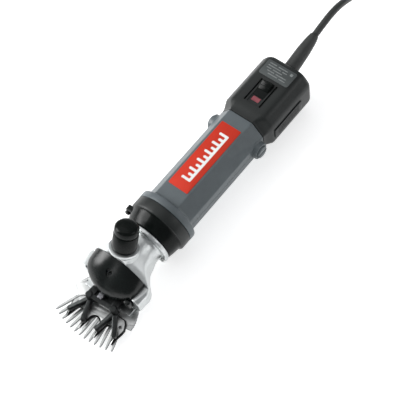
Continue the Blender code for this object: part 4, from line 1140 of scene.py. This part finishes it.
def build_cutter():
    tips = [28.3, 9.43, -9.43, -28.3]
    tip_y = [-132.8, -135.8, -135.8, -132.8]
    arch_radius, arch_top = 5.6, -117.0
    ground = 1.5
    side_rim = [(26.9, -104.4), (29.8, -107.6), (32.9, -113.9), (32.6, -118.5), (31.4, -123.8),
                (29.5, -132.2)]
    side_top = [(25.9, -105.6), (28.7, -108.5), (31.3, -114.2), (31.0, -118.3), (29.8, -123.4),
                (28.6, -128.6)]
    rim, top = list(side_rim), list(side_top)
    for i, x in enumerate(tips):
        rim += [(x + 0.6, tip_y[i]), (x - 0.6, tip_y[i])]
        top += [(x + 0.15, tip_y[i] + 5.2), (x - 0.15, tip_y[i] + 5.2)]
        if i == len(tips) - 1:
            break
        middle = (x + tips[i + 1]) / 2
        centre = arch_top - arch_radius
        for t in np.linspace(0, math.pi, 21):
            for line, radius in ((rim, arch_radius), (top, arch_radius + ground)):
                line.append((middle + radius * math.cos(t), centre + radius * math.sin(t)))
    rim += [(-x, y) for x, y in reversed(side_rim)]
    top += [(-x, y) for x, y in reversed(side_top)]
    low = COMB_TOP + GAP
    bm = bmesh.new()
    rings = [[bm.verts.new((x, y, z)) for x, y in line]
             for line, z in ((rim, low), (rim, low + 1.7), (top, low + 3.0))]
    for lower, upper in zip(rings, rings[1:]):
        bridge(bm, lower, upper)
    bm.faces.new(rings[0])
    bm.faces.new(rings[-1])
    face_outwards(bm)
    cutter = from_bmesh("cutter_blade", bm)
    holes = [rod(f"foot_hole_{side}_{n}", 1.6, (side * x, y, -30), (side * x, y, -20), 24)
             for side in (-1, 1) for n, (x, y) in enumerate(FEET + ((26.5, -113.6),))]
    cut(cutter, *holes)
    cutter.data.materials.append(FINISH["cutter_steel"])
    cutter.data.materials.append(CUTTER_FLANK_SHADE)
    # the upright faces and, through the bevel, the rounded edges take the painted shade
    paint_shade_on_upright_faces(cutter, 0.97)
    soften(cutter, 0.12, 2, 35, material=1)
    swing(cutter)
    finish_piece(cutter, ["cutter"], "cutter_steel", "fork_unit")


# ---- carried-over CAD pieces


def dress_cad_nodes():
    """Every CAD node that stays gets the finish of its own material slot."""
    slots = {part["node"]: part["material_slot"] for part in frame["record"]["subparts"]}
    for name, obj in frame["nodes"].items():
        obj.data.materials.clear()
        obj.data.materials.append(MARK_RED if name == "switch_mark" else FINISH[slots[name]])


# ---- studio

CAMERA_AT = (407.0, -264.9, 900.0)
CAMERA_AIM = (18.4, 36.0, 5.5)
CAMERA_ROLL = math.radians(-14.8)
LENS = 90.6
LIGHTS = (  # name, size and power, place and aim, in metres
    ("overhead", (2.2, 2.2), 10, (-0.7, 0.4, 1.7), (0, 0, 0)),
    ("key", (1.3, 1.3), 34, (-1.5, -0.8, 1.3), (0, 0, 0)),
    ("low_left", (0.8, 0.6), 11, (-1.4, -0.85, 0.65), (0, -0.08, 0.05)),
    ("side", (1.0, 0.7), 4, (1.3, 0.9, 0.9), (0, 0, 0.03)),
)


def area_light(name, size, power, at, aim):
    light = bpy.data.lights.new(name, "AREA")
    light.shape = "RECTANGLE"
    light.size, light.size_y = size
    light.energy = power
    lamp = add_object(name, light)
    lamp.location = at
    lamp.rotation_euler = (Vector(aim) - Vector(at)).to_track_quat("-Z", "Y").to_euler()


def build_studio():
    scene = bpy.context.scene
    scene.view_settings.view_transform = "Standard"
    world = bpy.data.worlds.new("studio")
    scene.world = world
    world.use_nodes = True
    sky = world.node_tree.nodes["Background"]
    sky.inputs["Color"].default_value = (0.95, 0.97, 1.0, 1)
    sky.inputs["Strength"].default_value = 0.28
    bm = bmesh.new()
    bmesh.ops.create_grid(bm, x_segments=1, y_segments=1, size=8.0)
    mesh = bpy.data.meshes.new("studio_floor")
    bm.to_mesh(mesh)
    bm.free()
    floor = add_object("studio_floor", mesh)
    pale = surface("pale_floor", (0.90, 0.90, 0.90), 0.9, vary=0.01, patch=200, grain=4, bump=0.0,
                   specular=0.0)
    glow = pale.node_tree.nodes["Principled BSDF"]
    glow.inputs["Emission Color"].default_value = (1, 1, 1, 1)
    glow.inputs["Emission Strength"].default_value = 0.62
    mesh.materials.append(pale)
    for light in LIGHTS:
        area_light(*light)
    camera = bpy.data.cameras.new("camera")
    camera.lens = LENS
    camera.sensor_width = 36
    camera.clip_end = 20
    seen_from = add_object("camera", camera)
    at, aim = to_world(CAMERA_AT), to_world(CAMERA_AIM)
    look = (aim - at).to_track_quat("-Z", "Y").to_matrix().to_4x4()
    seen_from.matrix_world = (Matrix.Translation(at) @ look
                              @ Matrix.Rotation(CAMERA_ROLL, 4, "Z"))
    scene.camera = seen_from


build_studio()
dress_cad_nodes()
build_motor_housing()
build_label()
build_rear_cap()
build_rating_plate()
build_filter_cover()
build_slider()
build_guard()
build_cord()
build_brush_caps()
build_gear_housing()
build_head()
build_cover()
build_tension()
build_comb()
build_fork()
build_yokes()
build_cutter()
